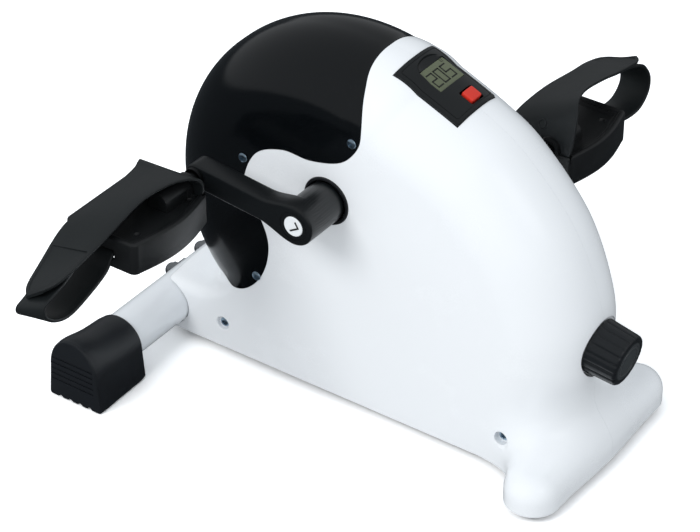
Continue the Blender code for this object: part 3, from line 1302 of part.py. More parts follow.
def brake():
    """Magnets on a curved arm that swings away from the flywheel rim about a pin at its foot."""
    hinge = pivot("brake_hinge", HINGE_X, 0.0, HINGE_Z)
    arm = prism("magnet_arm", rim_arc(*MAGNET_ARM), *MAGNET_ARM_Y, "bright_steel", hinge)
    join(arm, prism("heel", ARM_HEEL, *ARM_HEEL_Y),
         rod("eye", HINGE_X, HINGE_Z, *ARM_HEEL_Y, ARM_EYE, sides=14))
    cut(arm, rod("bore", HINGE_X, HINGE_Z, -2 * THROUGH, 2 * THROUGH, PIN_BORE, sides=12))
    prism("brake_magnets", rim_arc(*MAGNET_STRIP), *MAGNET_STRIP_Y, "magnet", hinge)
    rod("brake_pivot_pin", HINGE_X, HINGE_Z, *PIN_ENDS, PIN_RADIUS, "bright_steel", 12)
    coil = []
    for i in range(SPRING_TURNS * SPRING_STEPS + 1):
        turn = 2 * math.pi * i / SPRING_STEPS
        rise = SPRING_LENGTH * i / (SPRING_TURNS * SPRING_STEPS)
        coil.append((HINGE_X + SPRING_RADIUS * math.cos(turn), SPRING_START + rise,
                     HINGE_Z + SPRING_RADIUS * math.sin(turn)))
    make("return_spring", tube_shape(coil, SPRING_WIRE, 4), "bright_steel")


def fluted_ring(radius, depth, height):
    """Ring of the knob's grip, drawn in at each of its flutes."""
    points = []
    for i in range(KNOB_FLUTES * 2):
        turn = math.pi * i / KNOB_FLUTES
        reach = radius - depth * (i % 2)
        points.append((reach * math.cos(turn), reach * math.sin(turn), height))
    return points


def tension_knob():
    """Fluted knob with a grey face, on a spindle whose cam pushes the brake; the spindle turns in a bush."""
    place = knob_frame()
    holder = pivot("knob_axis", KNOB_BASE[0], 0.0, KNOB_BASE[1])
    length = math.dist(KNOB_BASE, KNOB_FACE)
    rings = [fluted_ring(radius, depth, length * share) for radius, depth, share in KNOB_GRIP]
    knob = make("knob", loft_shape(rings), "black_satin", place, holder)
    floor, above, bore = length - KNOB_RECESS_DEPTH, length + THROUGH, TENSION_RADIUS + 2 * PART_GAP
    cut(knob, knob_cylinder("recess", KNOB_RECESS, floor, above, 20),
        knob_cylinder("bore", bore, -THROUGH, KNOB_SOCKET, 12))
    face = KNOB_RECESS - 2 * PART_GAP
    plate = [(face, floor + PART_GAP), (face, length), (face - KNOB_FACE_EDGE, length + KNOB_FACE_EDGE)]
    make("knob_face", turned_shape(plate, 20), "grey_plastic", place, holder)
    spindle = make("tension_spindle", turned_shape(TENSION_SPINDLE, 12), "bright_steel", place, holder)
    cam = turned_shape([(CAM_RADIUS, CAM_ENDS[0]), (CAM_RADIUS, CAM_ENDS[1])], 16)
    bmesh.ops.translate(cam, vec=(0.0, CAM_OFFSET, 0.0), verts=cam.verts)
    join(spindle, make("cam", cam, place=place))
    make("spindle_bush", turned_shape(BUSH_SECTION, 16, hollow=True), "grey_plastic", place)


def speed_sensor(crank):
    """Reed switch on the post, its lead up to the monitor, and the magnet that passes it on the pulley."""
    shape = block_shape(*SENSOR)
    bevel(shape, shape.edges, SENSOR_EDGE, 1)
    sensor = make("speed_sensor", shape, "black_satin")
    join(sensor, make("lead", tube_shape(spline(LEAD_ROUTE, 2), LEAD_RADIUS, 6)))
    rod("sensor_magnet", CRANK_X, CRANK_Z - MAGNET_REACH, *MAGNET_ENDS, MAGNET_RADIUS, "magnet", 12, crank)


def build():
    """Every piece; the flat faces that the cuts broke up are made whole again at the end."""
    clear_scene()
    grid = skin_grid()
    housing_halves(grid)
    front_cover(grid)
    housing_screws()
    bush_rings()
    monitor()
    welded_frame()
    stabiliser()
    for word, side in SIDES:
        end_cap(word + "_end_cap", side)
    front_foot_pad()
    flywheel_group()
    drive_belt()
    crank_group()
    brake()
    tension_knob()
    speed_sensor(bpy.data.objects["crank_axis"])
    for piece in list(bpy.data.objects):
        if piece.type == "MESH":
            flatten(piece, NEARLY_FLAT)


if __name__ == "__main__":
    build()
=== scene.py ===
"""Studio picture of a mini pedal exerciser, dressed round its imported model, in metres with +Z up."""

import math

import bmesh
import bpy
import numpy as np
from mathutils import Matrix, Vector
from mathutils.bvhtree import BVHTree


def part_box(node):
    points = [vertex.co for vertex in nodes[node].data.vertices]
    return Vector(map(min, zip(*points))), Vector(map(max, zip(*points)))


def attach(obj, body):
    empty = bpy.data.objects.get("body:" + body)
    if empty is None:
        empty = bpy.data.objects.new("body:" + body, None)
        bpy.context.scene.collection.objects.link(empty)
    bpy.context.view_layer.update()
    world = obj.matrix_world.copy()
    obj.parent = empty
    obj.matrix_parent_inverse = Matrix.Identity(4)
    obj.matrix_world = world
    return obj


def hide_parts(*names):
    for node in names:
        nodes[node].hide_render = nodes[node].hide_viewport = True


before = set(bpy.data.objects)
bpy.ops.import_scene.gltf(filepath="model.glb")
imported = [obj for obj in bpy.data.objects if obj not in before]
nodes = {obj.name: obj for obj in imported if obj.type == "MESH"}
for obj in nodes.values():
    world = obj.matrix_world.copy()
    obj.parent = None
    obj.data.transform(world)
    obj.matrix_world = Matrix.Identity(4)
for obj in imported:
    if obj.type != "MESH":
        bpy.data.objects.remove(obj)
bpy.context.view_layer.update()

scene = bpy.context.scene

# Camera: a long lens, looking down at the machine from its front left corner.
# The place and the angles are worked out from the lines of the photograph.
CAMERA_PLACE = (0.80926, -1.48009, 1.35242)
CAMERA_AZIMUTH = math.radians(35.01)
CAMERA_ELEVATION = math.radians(34.91)
CAMERA_ROLL = math.radians(0.07)

camera = bpy.data.objects.new("camera", bpy.data.cameras.new("camera"))
scene.collection.objects.link(camera)
camera.data.lens = 138.9
camera.data.sensor_width = 36.0
camera.data.clip_end = 50.0
backwards = Vector((math.sin(CAMERA_AZIMUTH) * math.cos(CAMERA_ELEVATION),
                    -math.cos(CAMERA_AZIMUTH) * math.cos(CAMERA_ELEVATION), math.sin(CAMERA_ELEVATION)))
turn = backwards.to_track_quat("Z", "Y").to_matrix().to_4x4()
camera.matrix_world = Matrix.Translation(CAMERA_PLACE) @ turn @ Matrix.Rotation(CAMERA_ROLL, 4, "Z")
scene.camera = camera
scene.view_settings.view_transform = "Standard"

# Studio: a pale floor that fades into a white surround, one broad lamp over the left side,
# a weaker one from the front and even light from all round.


class Wire:
    """A socket in a material: sums on it add Math nodes, and node() adds a node of any kind."""

    def __init__(self, tree, socket=None):
        self.tree = tree
        self.socket = socket

    def node(self, kind, settings=None, inputs=None, output=0):
        made = self.tree.nodes.new("ShaderNode" + kind)
        for name, value in (settings or {}).items():
            setattr(made, name, value)
        for name, value in (inputs or {}).items():
            if isinstance(value, Wire):
                self.tree.links.new(value.socket, made.inputs[name])
            else:
                made.inputs[name].default_value = value
        return Wire(self.tree, made.outputs[output])

    def maths(self, operation, *values):
        return self.node("Math", {"operation": operation}, dict(enumerate(values)))

    def blend(self, first, second):
        """A mix of two colours, each one a tuple or a wire, with this wire as its factor."""
        first, second = [c if isinstance(c, Wire) else (*c, 1.0) for c in (first, second)]
        return self.node("Mix", {"data_type": "RGBA"}, {"Factor": self, 6: first, 7: second}, output=2)

    def shade(self, colour, share):
        """From a darker tone of a colour, where this wire is 0, to the colour itself, where it is 1."""
        return self.blend([c * share for c in colour], colour)

    def noise(self, scale, detail, roughness=0.5):
        """Noise over the place that this wire carries."""
        inputs = {"Vector": self, "Scale": scale, "Detail": detail, "Roughness": roughness}
        return self.node("TexNoise", {}, inputs)

    def __add__(self, other):
        return self.maths("ADD", self, other)

    def __sub__(self, other):
        return self.maths("SUBTRACT", self, other)

    def __rsub__(self, other):
        return self.maths("SUBTRACT", other, self)

    def __mul__(self, other):
        return self.maths("MULTIPLY", self, other)

    __radd__ = __add__
    __rmul__ = __mul__


def new_finish(name):
    """A material with a Principled shader: (material, its shader, a wire to start nodes from)."""
    material = bpy.data.materials.new(name)
    material.use_nodes = True
    return material, material.node_tree.nodes["Principled BSDF"], Wire(material.node_tree)


FLOOR_TONE = (0.8, 0.8, 0.8)
FLOOR_SEEN = (1.55, 1.55, 1.55)
FLOOR_MIRRORED = (0.05, 0.055, 0.06)
FLOOR_REACH = 12.0

floor_finish, floor_shader, wire = new_finish("studio_floor")
seen = wire.node("LightPath", output="Is Camera Ray")
mirrored = wire.node("LightPath", output="Is Glossy Ray")
tone = seen.blend(mirrored.blend(FLOOR_TONE, FLOOR_MIRRORED), FLOOR_SEEN)
floor_finish.node_tree.links.new(tone.socket, floor_shader.inputs["Base Color"])
floor_shader.inputs["Roughness"].default_value = 0.9
floor_shader.inputs["Specular IOR Level"].default_value = 0.0
floor_mesh = bpy.data.meshes.new("studio_floor")
corners = [(x * FLOOR_REACH, y * FLOOR_REACH, 0.0) for x, y in ((-1, -1), (1, -1), (1, 1), (-1, 1))]
floor_mesh.from_pydata(corners, [], [(0, 1, 2, 3)])
floor = bpy.data.objects.new("studio_floor", floor_mesh)
floor.data.materials.append(floor_finish)
scene.collection.objects.link(floor)

SURROUND_LIGHT = 0.8
SURROUND_MIRRORED = 0.34
SURROUND_TINT = (0.93, 0.966, 1.0)
surround = bpy.data.worlds.new("surround")
surround.use_nodes = True
scene.world = surround
wire = Wire(surround.node_tree)
background = surround.node_tree.nodes["Background"]
camera_ray = wire.node("LightPath", output="Is Camera Ray")
glossy_ray = wire.node("LightPath", output="Is Glossy Ray")
through_ray = wire.node("LightPath", output="Is Transmission Ray")
direct = wire.maths("MINIMUM", camera_ray + through_ray, 1.0)
mirrored = glossy_ray * (SURROUND_MIRRORED - SURROUND_LIGHT)
strength = direct * (1.0 - SURROUND_LIGHT) + (mirrored + SURROUND_LIGHT)
tint = direct.blend(SURROUND_TINT, (1.0, 1.0, 1.0))
surround.node_tree.links.new(strength.socket, background.inputs["Strength"])
surround.node_tree.links.new(tint.socket, background.inputs["Color"])


def lamp(name, place, target, size, power):
    """A square soft lamp that faces a point."""
    light = bpy.data.lights.new(name, "AREA")
    light.shape = "RECTANGLE"
    light.size, light.size_y = size
    light.energy = power
    holder = bpy.data.objects.new(name, light)
    scene.collection.objects.link(holder)
    way = Vector(place) - Vector(target)
    holder.matrix_world = Matrix.Translation(place) @ way.to_track_quat("Z", "Y").to_matrix().to_4x4()
    return holder


side_lamp = lamp("side_lamp", (-0.9, -2.4, 2.3), (-0.2, 0.0, 0.15), (1.6, 1.2), 46.0)
side_lamp.visible_glossy = False
lamp("front_lamp", (2.2, -0.6, 2.0), (-0.1, 0.0, 0.15), (1.2, 1.2), 5.0)

# The two white halves of the housing: injection-moulded ABS, smooth and bright, 3 mm thick,
# screwed together along the middle plane, with a foot blended in at the front and a tail over the tube.
SIDE = 0.0574
SIDE_BULGE = 0.0035
BULGE_REACH = 0.075
CREST_RADIUS = 0.055
DRUM_CENTRE = (-0.2222, 0.16)
DRUM_RADIUS = 0.1555
SLOPE_POINTS = ((-0.17, 0.31), (-0.104, 0.282), (-0.064, 0.257), (-0.018, 0.206),
                (0.0075, 0.145), (0.0105, 0.1), (0.002, 0.05), (-0.006, -0.07))
HOUSING_BASE = 0.0072
OPEN_BELOW = -0.004
WALL = 0.003
SEAM = 0.0001
CRANK_X = -0.2074
CRANK_Z = 0.1957
FOOT_END_Y = 0.0783
FOOT_RADIUS = 0.0226
FOOT_TOP = 0.0346
FOOT_ROUND = 0.017
FOOT_BLEND = 0.045
TUBE_X = -0.3727
TUBE_Z = 0.0305
TUBE_RADIUS = 0.02
TAIL_END = -0.3765
TAIL_ROOT = -0.235
TAIL_TOP = 0.054
TAIL_RISE = 0.024
TAIL_RISE_START = -0.345
TAIL_RISE_LENGTH = 0.06
TAIL_CROWN = 0.005
TAIL_EDGE = 0.008
TAIL_BLEND = 0.014
SKIN_CELL = 0.003
SIDES = (("left", -1), ("right", 1))
NUDGE = 0.00005


def smooth_step(value):
    value = np.clip(value, 0.0, 1.0)
    return value * value * (3.0 - 2.0 * value)


def smooth_union(first, second, reach):
    overlap = np.clip(reach - np.abs(first - second), 0.0, None) / reach
    return np.minimum(first, second) - overlap * overlap * reach / 4.0


def spline(points, steps):
    """Points on a Catmull-Rom curve through the given points."""
    points = [np.array(p, float) for p in points]
    padded = [2 * points[0] - points[1], *points, 2 * points[-1] - points[-2]]
    curve = []
    for i in range(1, len(padded) - 2):
        before, start, end, after = padded[i - 1:i + 3]
        for step in range(steps):
            t = step / steps
            curve.append(0.5 * (2 * start + (end - before) * t
                                + (2 * before - 5 * start + 4 * end - after) * t * t
                                + (3 * start - before - 3 * end + after) * t ** 3))
    curve.append(points[-1])
    return np.array(curve)


def arc(x, z, radius, start, end, steps, height=None):
    """Points of an arc between two angles in degrees, or of an ellipse's if it has a height of its own."""
    height = radius if height is None else height
    return [(x + radius * math.cos(t), z + height * math.sin(t))
            for t in np.radians(np.linspace(start, end, steps + 1))]


def inward(points, distance):
    """The line moved to its right-hand side, which is the inside of an outline drawn clockwise."""
    heading = np.gradient(points, axis=0)
    heading /= np.linalg.norm(heading, axis=1)[:, None]
    return points + np.column_stack([heading[:, 1], -heading[:, 0]]) * distance


def outline_distance(outline, x, z):
    """Signed distance in the XZ plane to a closed outline, negative inside."""
    x, z = np.broadcast_arrays(x, z)
    nearest = np.full(x.shape, np.inf)
    inside = np.zeros(x.shape, bool)
    for (ax, az), (bx, bz) in zip(outline, np.roll(outline, -1, axis=0)):
        ex, ez = bx - ax, bz - az
        share = np.clip(((x - ax) * ex + (z - az) * ez) / (ex * ex + ez * ez), 0.0, 1.0)
        nearest = np.minimum(nearest, np.hypot(x - ax - share * ex, z - az - share * ez))
        if az != bz:
            inside ^= ((az > z) != (bz > z)) & (x < ax + (z - az) / ez * ex)
    return np.where(inside, -nearest, nearest)


# The housing's outline on its middle plane, from the low front round the drum to the foot.
crest_line = np.vstack([arc(*DRUM_CENTRE, DRUM_RADIUS, 250, 76, 87), spline(SLOPE_POINTS, 16)])
CORE_FLOOR = ((-0.054 - CREST_RADIUS, -0.07), (-0.262, -0.07))
CORE = np.vstack([inward(crest_line, CREST_RADIUS), CORE_FLOOR])


def housing_distance(x, y, z):
    """Distance from points to the outer skin of the housing, negative inside it."""
    y = np.abs(y)
    bulge = np.exp(-((x - CRANK_X) ** 2 + (z - CRANK_Z) ** 2) / (2 * BULGE_REACH ** 2))
    width = SIDE + SIDE_BULGE * bulge
    core = np.clip(outline_distance(CORE, x, z), 0.0, None)
    drum = np.hypot(core, np.clip(y - (width - CREST_RADIUS), 0.0, None)) - CREST_RADIUS

    ridge = TAIL_TOP + TAIL_RISE * smooth_step((x - TAIL_RISE_START) / TAIL_RISE_LENGTH)
    ridge = ridge + TAIL_CROWN * (1.0 - np.clip(y / SIDE, 0.0, 1.0) ** 2)
    over = [np.maximum(TAIL_END - x, x - TAIL_ROOT) + TAIL_EDGE, y - width + TAIL_EDGE, z - ridge + TAIL_EDGE]
    rim = sum(np.clip(part, 0.0, None) ** 2 for part in over) ** 0.5
    tail = rim + np.minimum(np.maximum(np.maximum(over[0], over[1]), over[2]), 0.0) - TAIL_EDGE
    body = np.maximum(smooth_union(drum, tail, TAIL_BLEND), y - width)

    plan = np.hypot(x, np.clip(y - FOOT_END_Y, 0.0, None)) - FOOT_RADIUS + FOOT_ROUND
    rise = z - FOOT_TOP + FOOT_ROUND
    foot = (np.hypot(np.clip(plan, 0.0, None), np.clip(rise, 0.0, None))
            + np.minimum(np.maximum(plan, rise), 0.0) - FOOT_ROUND)
    return np.maximum(smooth_union(body, foot, FOOT_BLEND), OPEN_BELOW - z)


def settle(field, points):
    """Points drawn one step onto the surface where a field is zero, and the unit normals there."""
    height = field(*points.T)
    slope = np.column_stack([field(*(points + NUDGE * way).T) - height for way in np.eye(3)]) / NUDGE
    steepness = np.linalg.norm(slope, axis=1)[:, None]
    return points - slope / steepness ** 2 * height[:, None], slope / steepness


def skin_mesh(field, low, high, cell):
    """Points, quads and normals where a field is zero: one point to each cell, drawn onto the surface."""
    axes = [np.arange(start, end + cell, cell) for start, end in zip(low, high)]
    x, y, z = axes[0][:, None, None], axes[1][None, :, None], axes[2][None, None, :]
    inside = np.broadcast_to(field(x, y, z), [len(a) for a in axes]) < 0.0
    corners = sum(inside[i:i - 1 or None, j:j - 1 or None, k:k - 1 or None].astype(np.int8)
                  for i in (0, 1) for j in (0, 1) for k in (0, 1))
    crossed = (corners > 0) & (corners < 8)
    index = np.full(corners.shape, -1)
    index[crossed] = np.arange(crossed.sum())
    points = np.column_stack([axes[a][where] + cell / 2 for a, where in enumerate(np.nonzero(crossed))])

    quads = []
    for axis in range(3):
        first = np.swapaxes(inside, 0, axis)
        cells = np.swapaxes(index, 0, axis)
        start, end = first[:-1, 1:-1, 1:-1], first[1:, 1:-1, 1:-1]
        i, j, k = np.nonzero(start != end)
        quad = np.column_stack([cells[i, j, k], cells[i, j + 1, k],
                                cells[i, j + 1, k + 1], cells[i, j, k + 1]])
        turned = start[i, j, k] ^ (axis != 0)
        quad[~turned] = quad[~turned, ::-1]
        quads.append(quad)
    quads = np.vstack(quads)

    for relaxed in range(6):
        if relaxed < 4:
            total = np.zeros_like(points)
            count = np.zeros(len(points))
            for a in range(4):
                np.add.at(total, quads[:, a], points[quads[:, (a + 1) % 4]] + points[quads[:, (a + 3) % 4]])
                np.add.at(count, quads[:, a], 2)
            points = (points + total / count[:, None]) / 2
        points, normals = settle(field, points)
    return points, quads, normals


def mesh_object(name, points, faces, finish):
    """A smooth mesh object from points and faces."""
    mesh = bpy.data.meshes.new(name)
    mesh.from_pydata(np.asarray(points).tolist(), [], np.asarray(faces).tolist())
    mesh.shade_smooth()
    piece = bpy.data.objects.new(name, mesh)
    mesh.materials.append(finish)
    scene.collection.objects.link(piece)
    return piece


def combine(target, *operands, operation="DIFFERENCE"):
    """Cuts, joins or keeps the overlap of closed meshes, and drops the other ones."""
    for operand in operands:
        step = target.modifiers.new(operation.lower(), "BOOLEAN")
        step.operation = operation
        step.solver = "MANIFOLD"
        step.object = operand
        graph = bpy.context.evaluated_depsgraph_get()
        result = bpy.data.meshes.new_from_object(target.evaluated_get(graph))
        target.modifiers.clear()
        target.data = result
        bpy.data.objects.remove(operand, do_unlink=True)
    return target


def sharpen(piece, degrees=35):
    """Smooth shading, broken at edges that turn by more than an angle."""
    piece.data.shade_smooth()
    piece.data.set_sharp_from_angle(angle=math.radians(degrees))
    return piece


def solid(name, shape, finish=None, place=Matrix()):
    """An object from a bmesh whose faces are turned outwards."""
    bmesh.ops.recalc_face_normals(shape, faces=shape.faces)
    mesh = bpy.data.meshes.new(name)
    shape.transform(place)
    shape.to_mesh(mesh)
    shape.free()
    piece = bpy.data.objects.new(name, mesh)
    if finish is not None:
        mesh.materials.append(finish)
    scene.collection.objects.link(piece)
    return piece


def block(low, high, place=Matrix()):
    shape = bmesh.new()
    bmesh.ops.create_cube(shape, size=1.0)
    centre = (Vector(low) + Vector(high)) / 2
    bmesh.ops.scale(shape, vec=Vector(high) - Vector(low), verts=shape.verts)
    bmesh.ops.translate(shape, vec=centre, verts=shape.verts)
    return solid("block", shape, place=place)


def loft(name, rings, finish=None, place=Matrix(), closed=False):
    """A solid through rings of points, filled at its two ends unless it closes on itself."""
    shape = bmesh.new()
    rings = [[shape.verts.new(p) for p in ring] for ring in rings]
    for lower, upper in list(zip(rings, rings[1:])) + ([(rings[-1], rings[0])] if closed else []):
        for i in range(len(lower)):
            k = (i + 1) % len(lower)
            shape.faces.new((lower[i], lower[k], upper[k], upper[i]))
    if not closed:
        shape.faces.new(rings[0])
        shape.faces.new(rings[-1])
    return solid(name, shape, finish, place)


def prism(outline, low_y, high_y):
    """A closed solid: an outline in the XZ plane drawn out along Y."""
    return loft("prism", [[(x, y, z) for x, z in outline] for y in (low_y, high_y)])


def turned(profile, sides, place=Matrix(), hollow=False, name="turned", finish=None):
    """A solid turned about local Z from (radius, height) points; a hollow one closes its profile."""
    turns = [2 * math.pi * i / sides for i in range(sides)]
    rings = [[(r * math.cos(t), r * math.sin(t), z) for t in turns] for r, z in profile]
    return loft(name, rings, finish, place, hollow)


def along(x, y, z, direction):
    """Placement that lays local Z along a direction, with its foot at a point."""
    way = Vector(direction).normalized().to_track_quat("Z", "Y")
    return Matrix.Translation((x, y, z)) @ way.to_matrix().to_4x4()


def join(shader, colour, roughness, height=None, depth=0.0, strength=0.6):
    """Joins a shader's varying colour and roughness, and a bump from a height."""
    links = colour.tree.links
    links.new(colour.socket, shader.inputs["Base Color"])
    links.new(roughness.socket, shader.inputs["Roughness"])
    if height:
        bump = height.node("Bump", {}, {"Height": height, "Distance": depth, "Strength": strength})
        links.new(bump.socket, shader.inputs["Normal"])


def moulded(name, colour, roughness, grain=0.0004, depth=0.00002, tint=0.03):
    """Moulded plastic: a fine spark-eroded grain, faint flow marks and slightly uneven gloss."""
    finish, shader, wire = new_finish(name)
    place = wire.node("TexCoord", output="Object")
    fine = place.noise(1.0 / grain, 3.0, 0.6)
    flow = place.noise(18.0, 2.0)
    gloss = flow * 0.1 + (fine * 0.06 + (roughness - 0.08))
    join(shader, flow.shade(colour, 1.0 - tint), gloss, fine, depth)
    return finish


shell_white = moulded("shell_white", (0.86, 0.885, 0.91), 0.26, grain=0.0005, depth=0.00001, tint=0.015)
SKIN_LOW = (-0.395, -0.12, -0.013)
SKIN_HIGH = (0.04, 0.12, 0.33)
skin_points, skin_quads, skin_normals = skin_mesh(housing_distance, SKIN_LOW, SKIN_HIGH, SKIN_CELL)


def skin_shell(name, outer, inner, finish):
    """Closed wall between two levels of the housing's skin."""
    count = len(skin_points)
    points = np.vstack([skin_points + skin_normals * outer, skin_points + skin_normals * inner])
    return mesh_object(name, points, np.vstack([skin_quads, skin_quads[:, ::-1] + count]), finish)


COVER_EDGE = ((-0.1905, 0.34), (-0.19, 0.312), (-0.183, 0.294), (-0.1772, 0.27), (-0.179, 0.253),
              (-0.1945, 0.2352), (-0.223, 0.2268), (-0.25, 0.2265), (-0.276, 0.214), (-0.2885, 0.187),
              (-0.284, 0.166), (-0.272, 0.1505), (-0.266, 0.13), (-0.27, 0.106), (-0.282, 0.085),
              (-0.3, 0.0735), (-0.325, 0.079), (-0.345, 0.09), (-0.38, 0.108))
COVER_OUTSIDE = ((-0.43, 0.12), (-0.43, 0.345))


def cover_region(grow):
    """Everything inside the edge of the black cover, moved outwards by a distance."""
    edge = inward(spline(COVER_EDGE, 8), -grow)
    return prism(list(map(tuple, np.vstack([edge, COVER_OUTSIDE]))), -0.15, 0.15)


LOW_SCREWS = ((-0.3161, 0.0306), (-0.0425, 0.035))
COVER_SCREWS = ((-0.289, 0.205), (-0.1842, 0.256), (-0.279, 0.0945))
RECESS_RADIUS = 0.006
HEAD_RISE = 0.002
RECESS_EDGE = 0.0006
BOSS_RADIUS = 0.008
BOSS_FOOT = 0.0415
SCREW_HOLE = 0.0022
RING_HOLE = 0.021
TUBE_NOTCH = 0.0209
# Corners of the room that the halves leave for the front cross tube of the frame inside.
CROSS_LOW = (-0.0153, -0.0703, 0.0117)
CROSS_HIGH = (0.0113, 0.0703, 0.0323)
MONITOR_TOP = (-0.169, 0.3065)
MONITOR_FOOT = (-0.1102, 0.2813)
MONITOR_HALF = 0.0264
MONITOR_DEPTH = 0.014
POCKET_WALL = 0.002
SEAT_GAP = 0.0003
UNDER_SKIN = 0.0006
KNOB_BASE = (0.0058, 0.111)
KNOB_HEADING = (0.98742, -0.15799)
CUP_RADIUS = 0.0252
CUP_WALL = 0.0025
CUP_DEPTH = 0.0012
TENSION_HOLE = 0.0066
THROUGH = 0.1
FAR = 0.5


def wall_y(x, z):
    """Half width of the housing at a place on its side wall, by halving."""
    near, far = 0.0, 0.12
    for _ in range(30):
        middle = (near + far) / 2
        if housing_distance(np.array(x), np.array(middle), np.array(z)) < 0.0:
            near = middle
        else:
            far = middle
    return near


def rod(x, z, start_y, end_y, radius, sides=40):
    """A round bar along Y between two places, in either order."""
    low, high = sorted((start_y, end_y))
    return turned([(radius, 0.0), (radius, high - low)], sides, along(x, low, z, (0, 1, 0)))


def side_block(low, high, sign):
    """A box given on the right side, or its mirror on the left."""
    near, far = sorted((sign * low[1], sign * high[1]))
    return block((low[0], near, low[2]), (high[0], far, high[2]))


def outwards(x, y, z, sign):
    """Placement that faces away from the middle plane, at a height y from it on one side."""
    return along(x, sign * y, z, (0, sign, 0))


def skin_solid(level, finish):
    """The housing's skin as a closed solid, moved outwards by a level; faces that it cuts take its finish."""
    return mesh_object("skin", skin_points + skin_normals * level, skin_quads, finish)


# The monitor's seat: local X runs down the slope, local Y across it and local Z outwards.
slope_start = Vector((MONITOR_TOP[0], 0.0, MONITOR_TOP[1]))
slope_end = Vector((MONITOR_FOOT[0], 0.0, MONITOR_FOOT[1]))
slope = (slope_end - slope_start).normalized()
slope_turn = Matrix((slope, (0, 1, 0), (-slope.z, 0.0, slope.x))).transposed()
monitor_place = Matrix.Translation((slope_start + slope_end) / 2) @ slope_turn.to_4x4()
half_length = math.dist(MONITOR_TOP, MONITOR_FOOT) / 2
knob_place = along(KNOB_BASE[0], 0.0, KNOB_BASE[1], (KNOB_HEADING[0], 0.0, KNOB_HEADING[1]))


def seat_block(grow, low, high):
    """Block of the monitor's outline, grown all round, between two heights over its seat."""
    half, width = half_length + grow, MONITOR_HALF + grow
    return block((-half, -width, low), (half, width, high), monitor_place)


for side, sign in SIDES:
    half = skin_shell(side + "_half", 0.0, -WALL, shell_white)
    pocket = seat_block(POCKET_WALL + SEAT_GAP, -MONITOR_DEPTH - WALL - SEAT_GAP, 0.01)
    cup_outer = CUP_RADIUS + CUP_WALL
    cup = turned([(cup_outer, -CUP_DEPTH - WALL), (cup_outer, 0.03)], 64, knob_place)
    for inner_wall in (pocket, cup):
        combine(inner_wall, skin_solid(-UNDER_SKIN, shell_white), operation="INTERSECT")
    combine(half, pocket, cup, operation="UNION")
    for number, (x, z) in enumerate(LOW_SCREWS):
        face = wall_y(x, z)
        low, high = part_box(f"{side}_shell_screw_{number + 1}")
        floor_y = max(-low.y, high.y) - HEAD_RISE - SEAT_GAP
        combine(half, rod(x, z, sign * BOSS_FOOT, sign * (face - 0.0009), BOSS_RADIUS), operation="UNION")
        rim = [(RECESS_RADIUS, floor_y - face), (RECESS_RADIUS, -RECESS_EDGE),
               (RECESS_RADIUS + RECESS_EDGE, 0.0), (RECESS_RADIUS + 0.01, 0.01)]
        combine(half, turned(rim, 48, outwards(x, face, z, sign)))
    for x, z in LOW_SCREWS + COVER_SCREWS:
        combine(half, rod(x, z, sign * 0.02, sign * 0.09, SCREW_HOLE, 20))
    combine(half, cover_region(SEAT_GAP),
            seat_block(SEAT_GAP, -MONITOR_DEPTH - SEAT_GAP, 0.03),
            turned([(CUP_RADIUS, -CUP_DEPTH), (CUP_RADIUS, 0.05)], 96, knob_place),
            turned([(TENSION_HOLE, -0.03), (TENSION_HOLE, 0.03)], 32, knob_place),
            rod(CRANK_X, CRANK_Z, -THROUGH, THROUGH, RING_HOLE, 64),
            rod(TUBE_X, TUBE_Z, -THROUGH, THROUGH, TUBE_NOTCH, 72),
            block((TUBE_X - 0.04, -THROUGH, -THROUGH), (TUBE_X, THROUGH, TUBE_Z)),
            block(CROSS_LOW, CROSS_HIGH))
    kept = side_block((-FAR, SEAM / 2, HOUSING_BASE), (FAR, FAR, FAR), sign)
    combine(half, kept, operation="INTERSECT")
    sharpen(half)
    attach(half, "housing")
    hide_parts(side + "_shell")

# The black cover over the drum: gloss ABS, 2 mm thick, pressed onto a lip of the white halves
# and held by three small screws on each side.
cover_black = moulded("cover_black", (0.0022, 0.003, 0.0038), 0.16, grain=0.0006, depth=0.000003)
COVER_WALL = 0.002
cover = skin_shell("drum_cover", 0.0, -COVER_WALL, cover_black)
combine(cover, cover_region(0.0), operation="INTERSECT")
for x, z in COVER_SCREWS:
    combine(cover, rod(x, z, -0.09, 0.09, SCREW_HOLE, 20))
sharpen(cover)
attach(cover, "housing")
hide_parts("front_cover")

# The lip that the cover rests on: a step of the same white ABS, moulded 2.6 mm below the skin.
LIP_TOP = -0.0026
LIP_UNDER = -0.0046
LIP_REACH = -0.0085
lip = skin_shell("cover_lip", LIP_TOP, LIP_UNDER, shell_white)
combine(lip, cover_region(LIP_REACH))
combine(lip, cover_region(0.003), operation="INTERSECT")
combine(lip, rod(CRANK_X, CRANK_Z, -THROUGH, THROUGH, RING_HOLE + 0.002, 64),
        seat_block(SEAT_GAP, -MONITOR_DEPTH - SEAT_GAP, 0.03))
sharpen(lip)
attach(lip, "housing")

# The ten housing screws: zinc-plated pan heads with a cross recess, three on each side of the black
# cover and two sunk in round recesses low on each white half.
HEAD_RADIUS = 0.0041
SHAFT_RADIUS = 0.0017
SHAFT_LENGTH = 0.011
CROSS_WIDTH = 0.001
CROSS_LENGTH = 0.0046
CROSS_DEPTH = 0.0014


def plated(name, colour, roughness):
    """Bright plating on steel: cloudy patches, fine scratches and an uneven gloss."""
    finish, shader, wire = new_finish(name)
    place = wire.node("TexCoord", output="Object")
    cloud = place.noise(420.0, 3.0, 0.6)
    stretched = wire.node("Mapping", {}, {"Vector": place, "Scale": (9000.0, 600.0, 1500.0)})
    scratch = stretched.noise(1.0, 2.0)
    gloss = cloud * 0.16 + (scratch * 0.1 + (roughness - 0.12))
    join(shader, cloud.shade(colour, 0.74), gloss, scratch, 0.00002, 0.5)
    shader.inputs["Metallic"].default_value = 1.0
    return finish


zinc_plate = plated("zinc_plate", (0.5, 0.66, 0.8), 0.3)


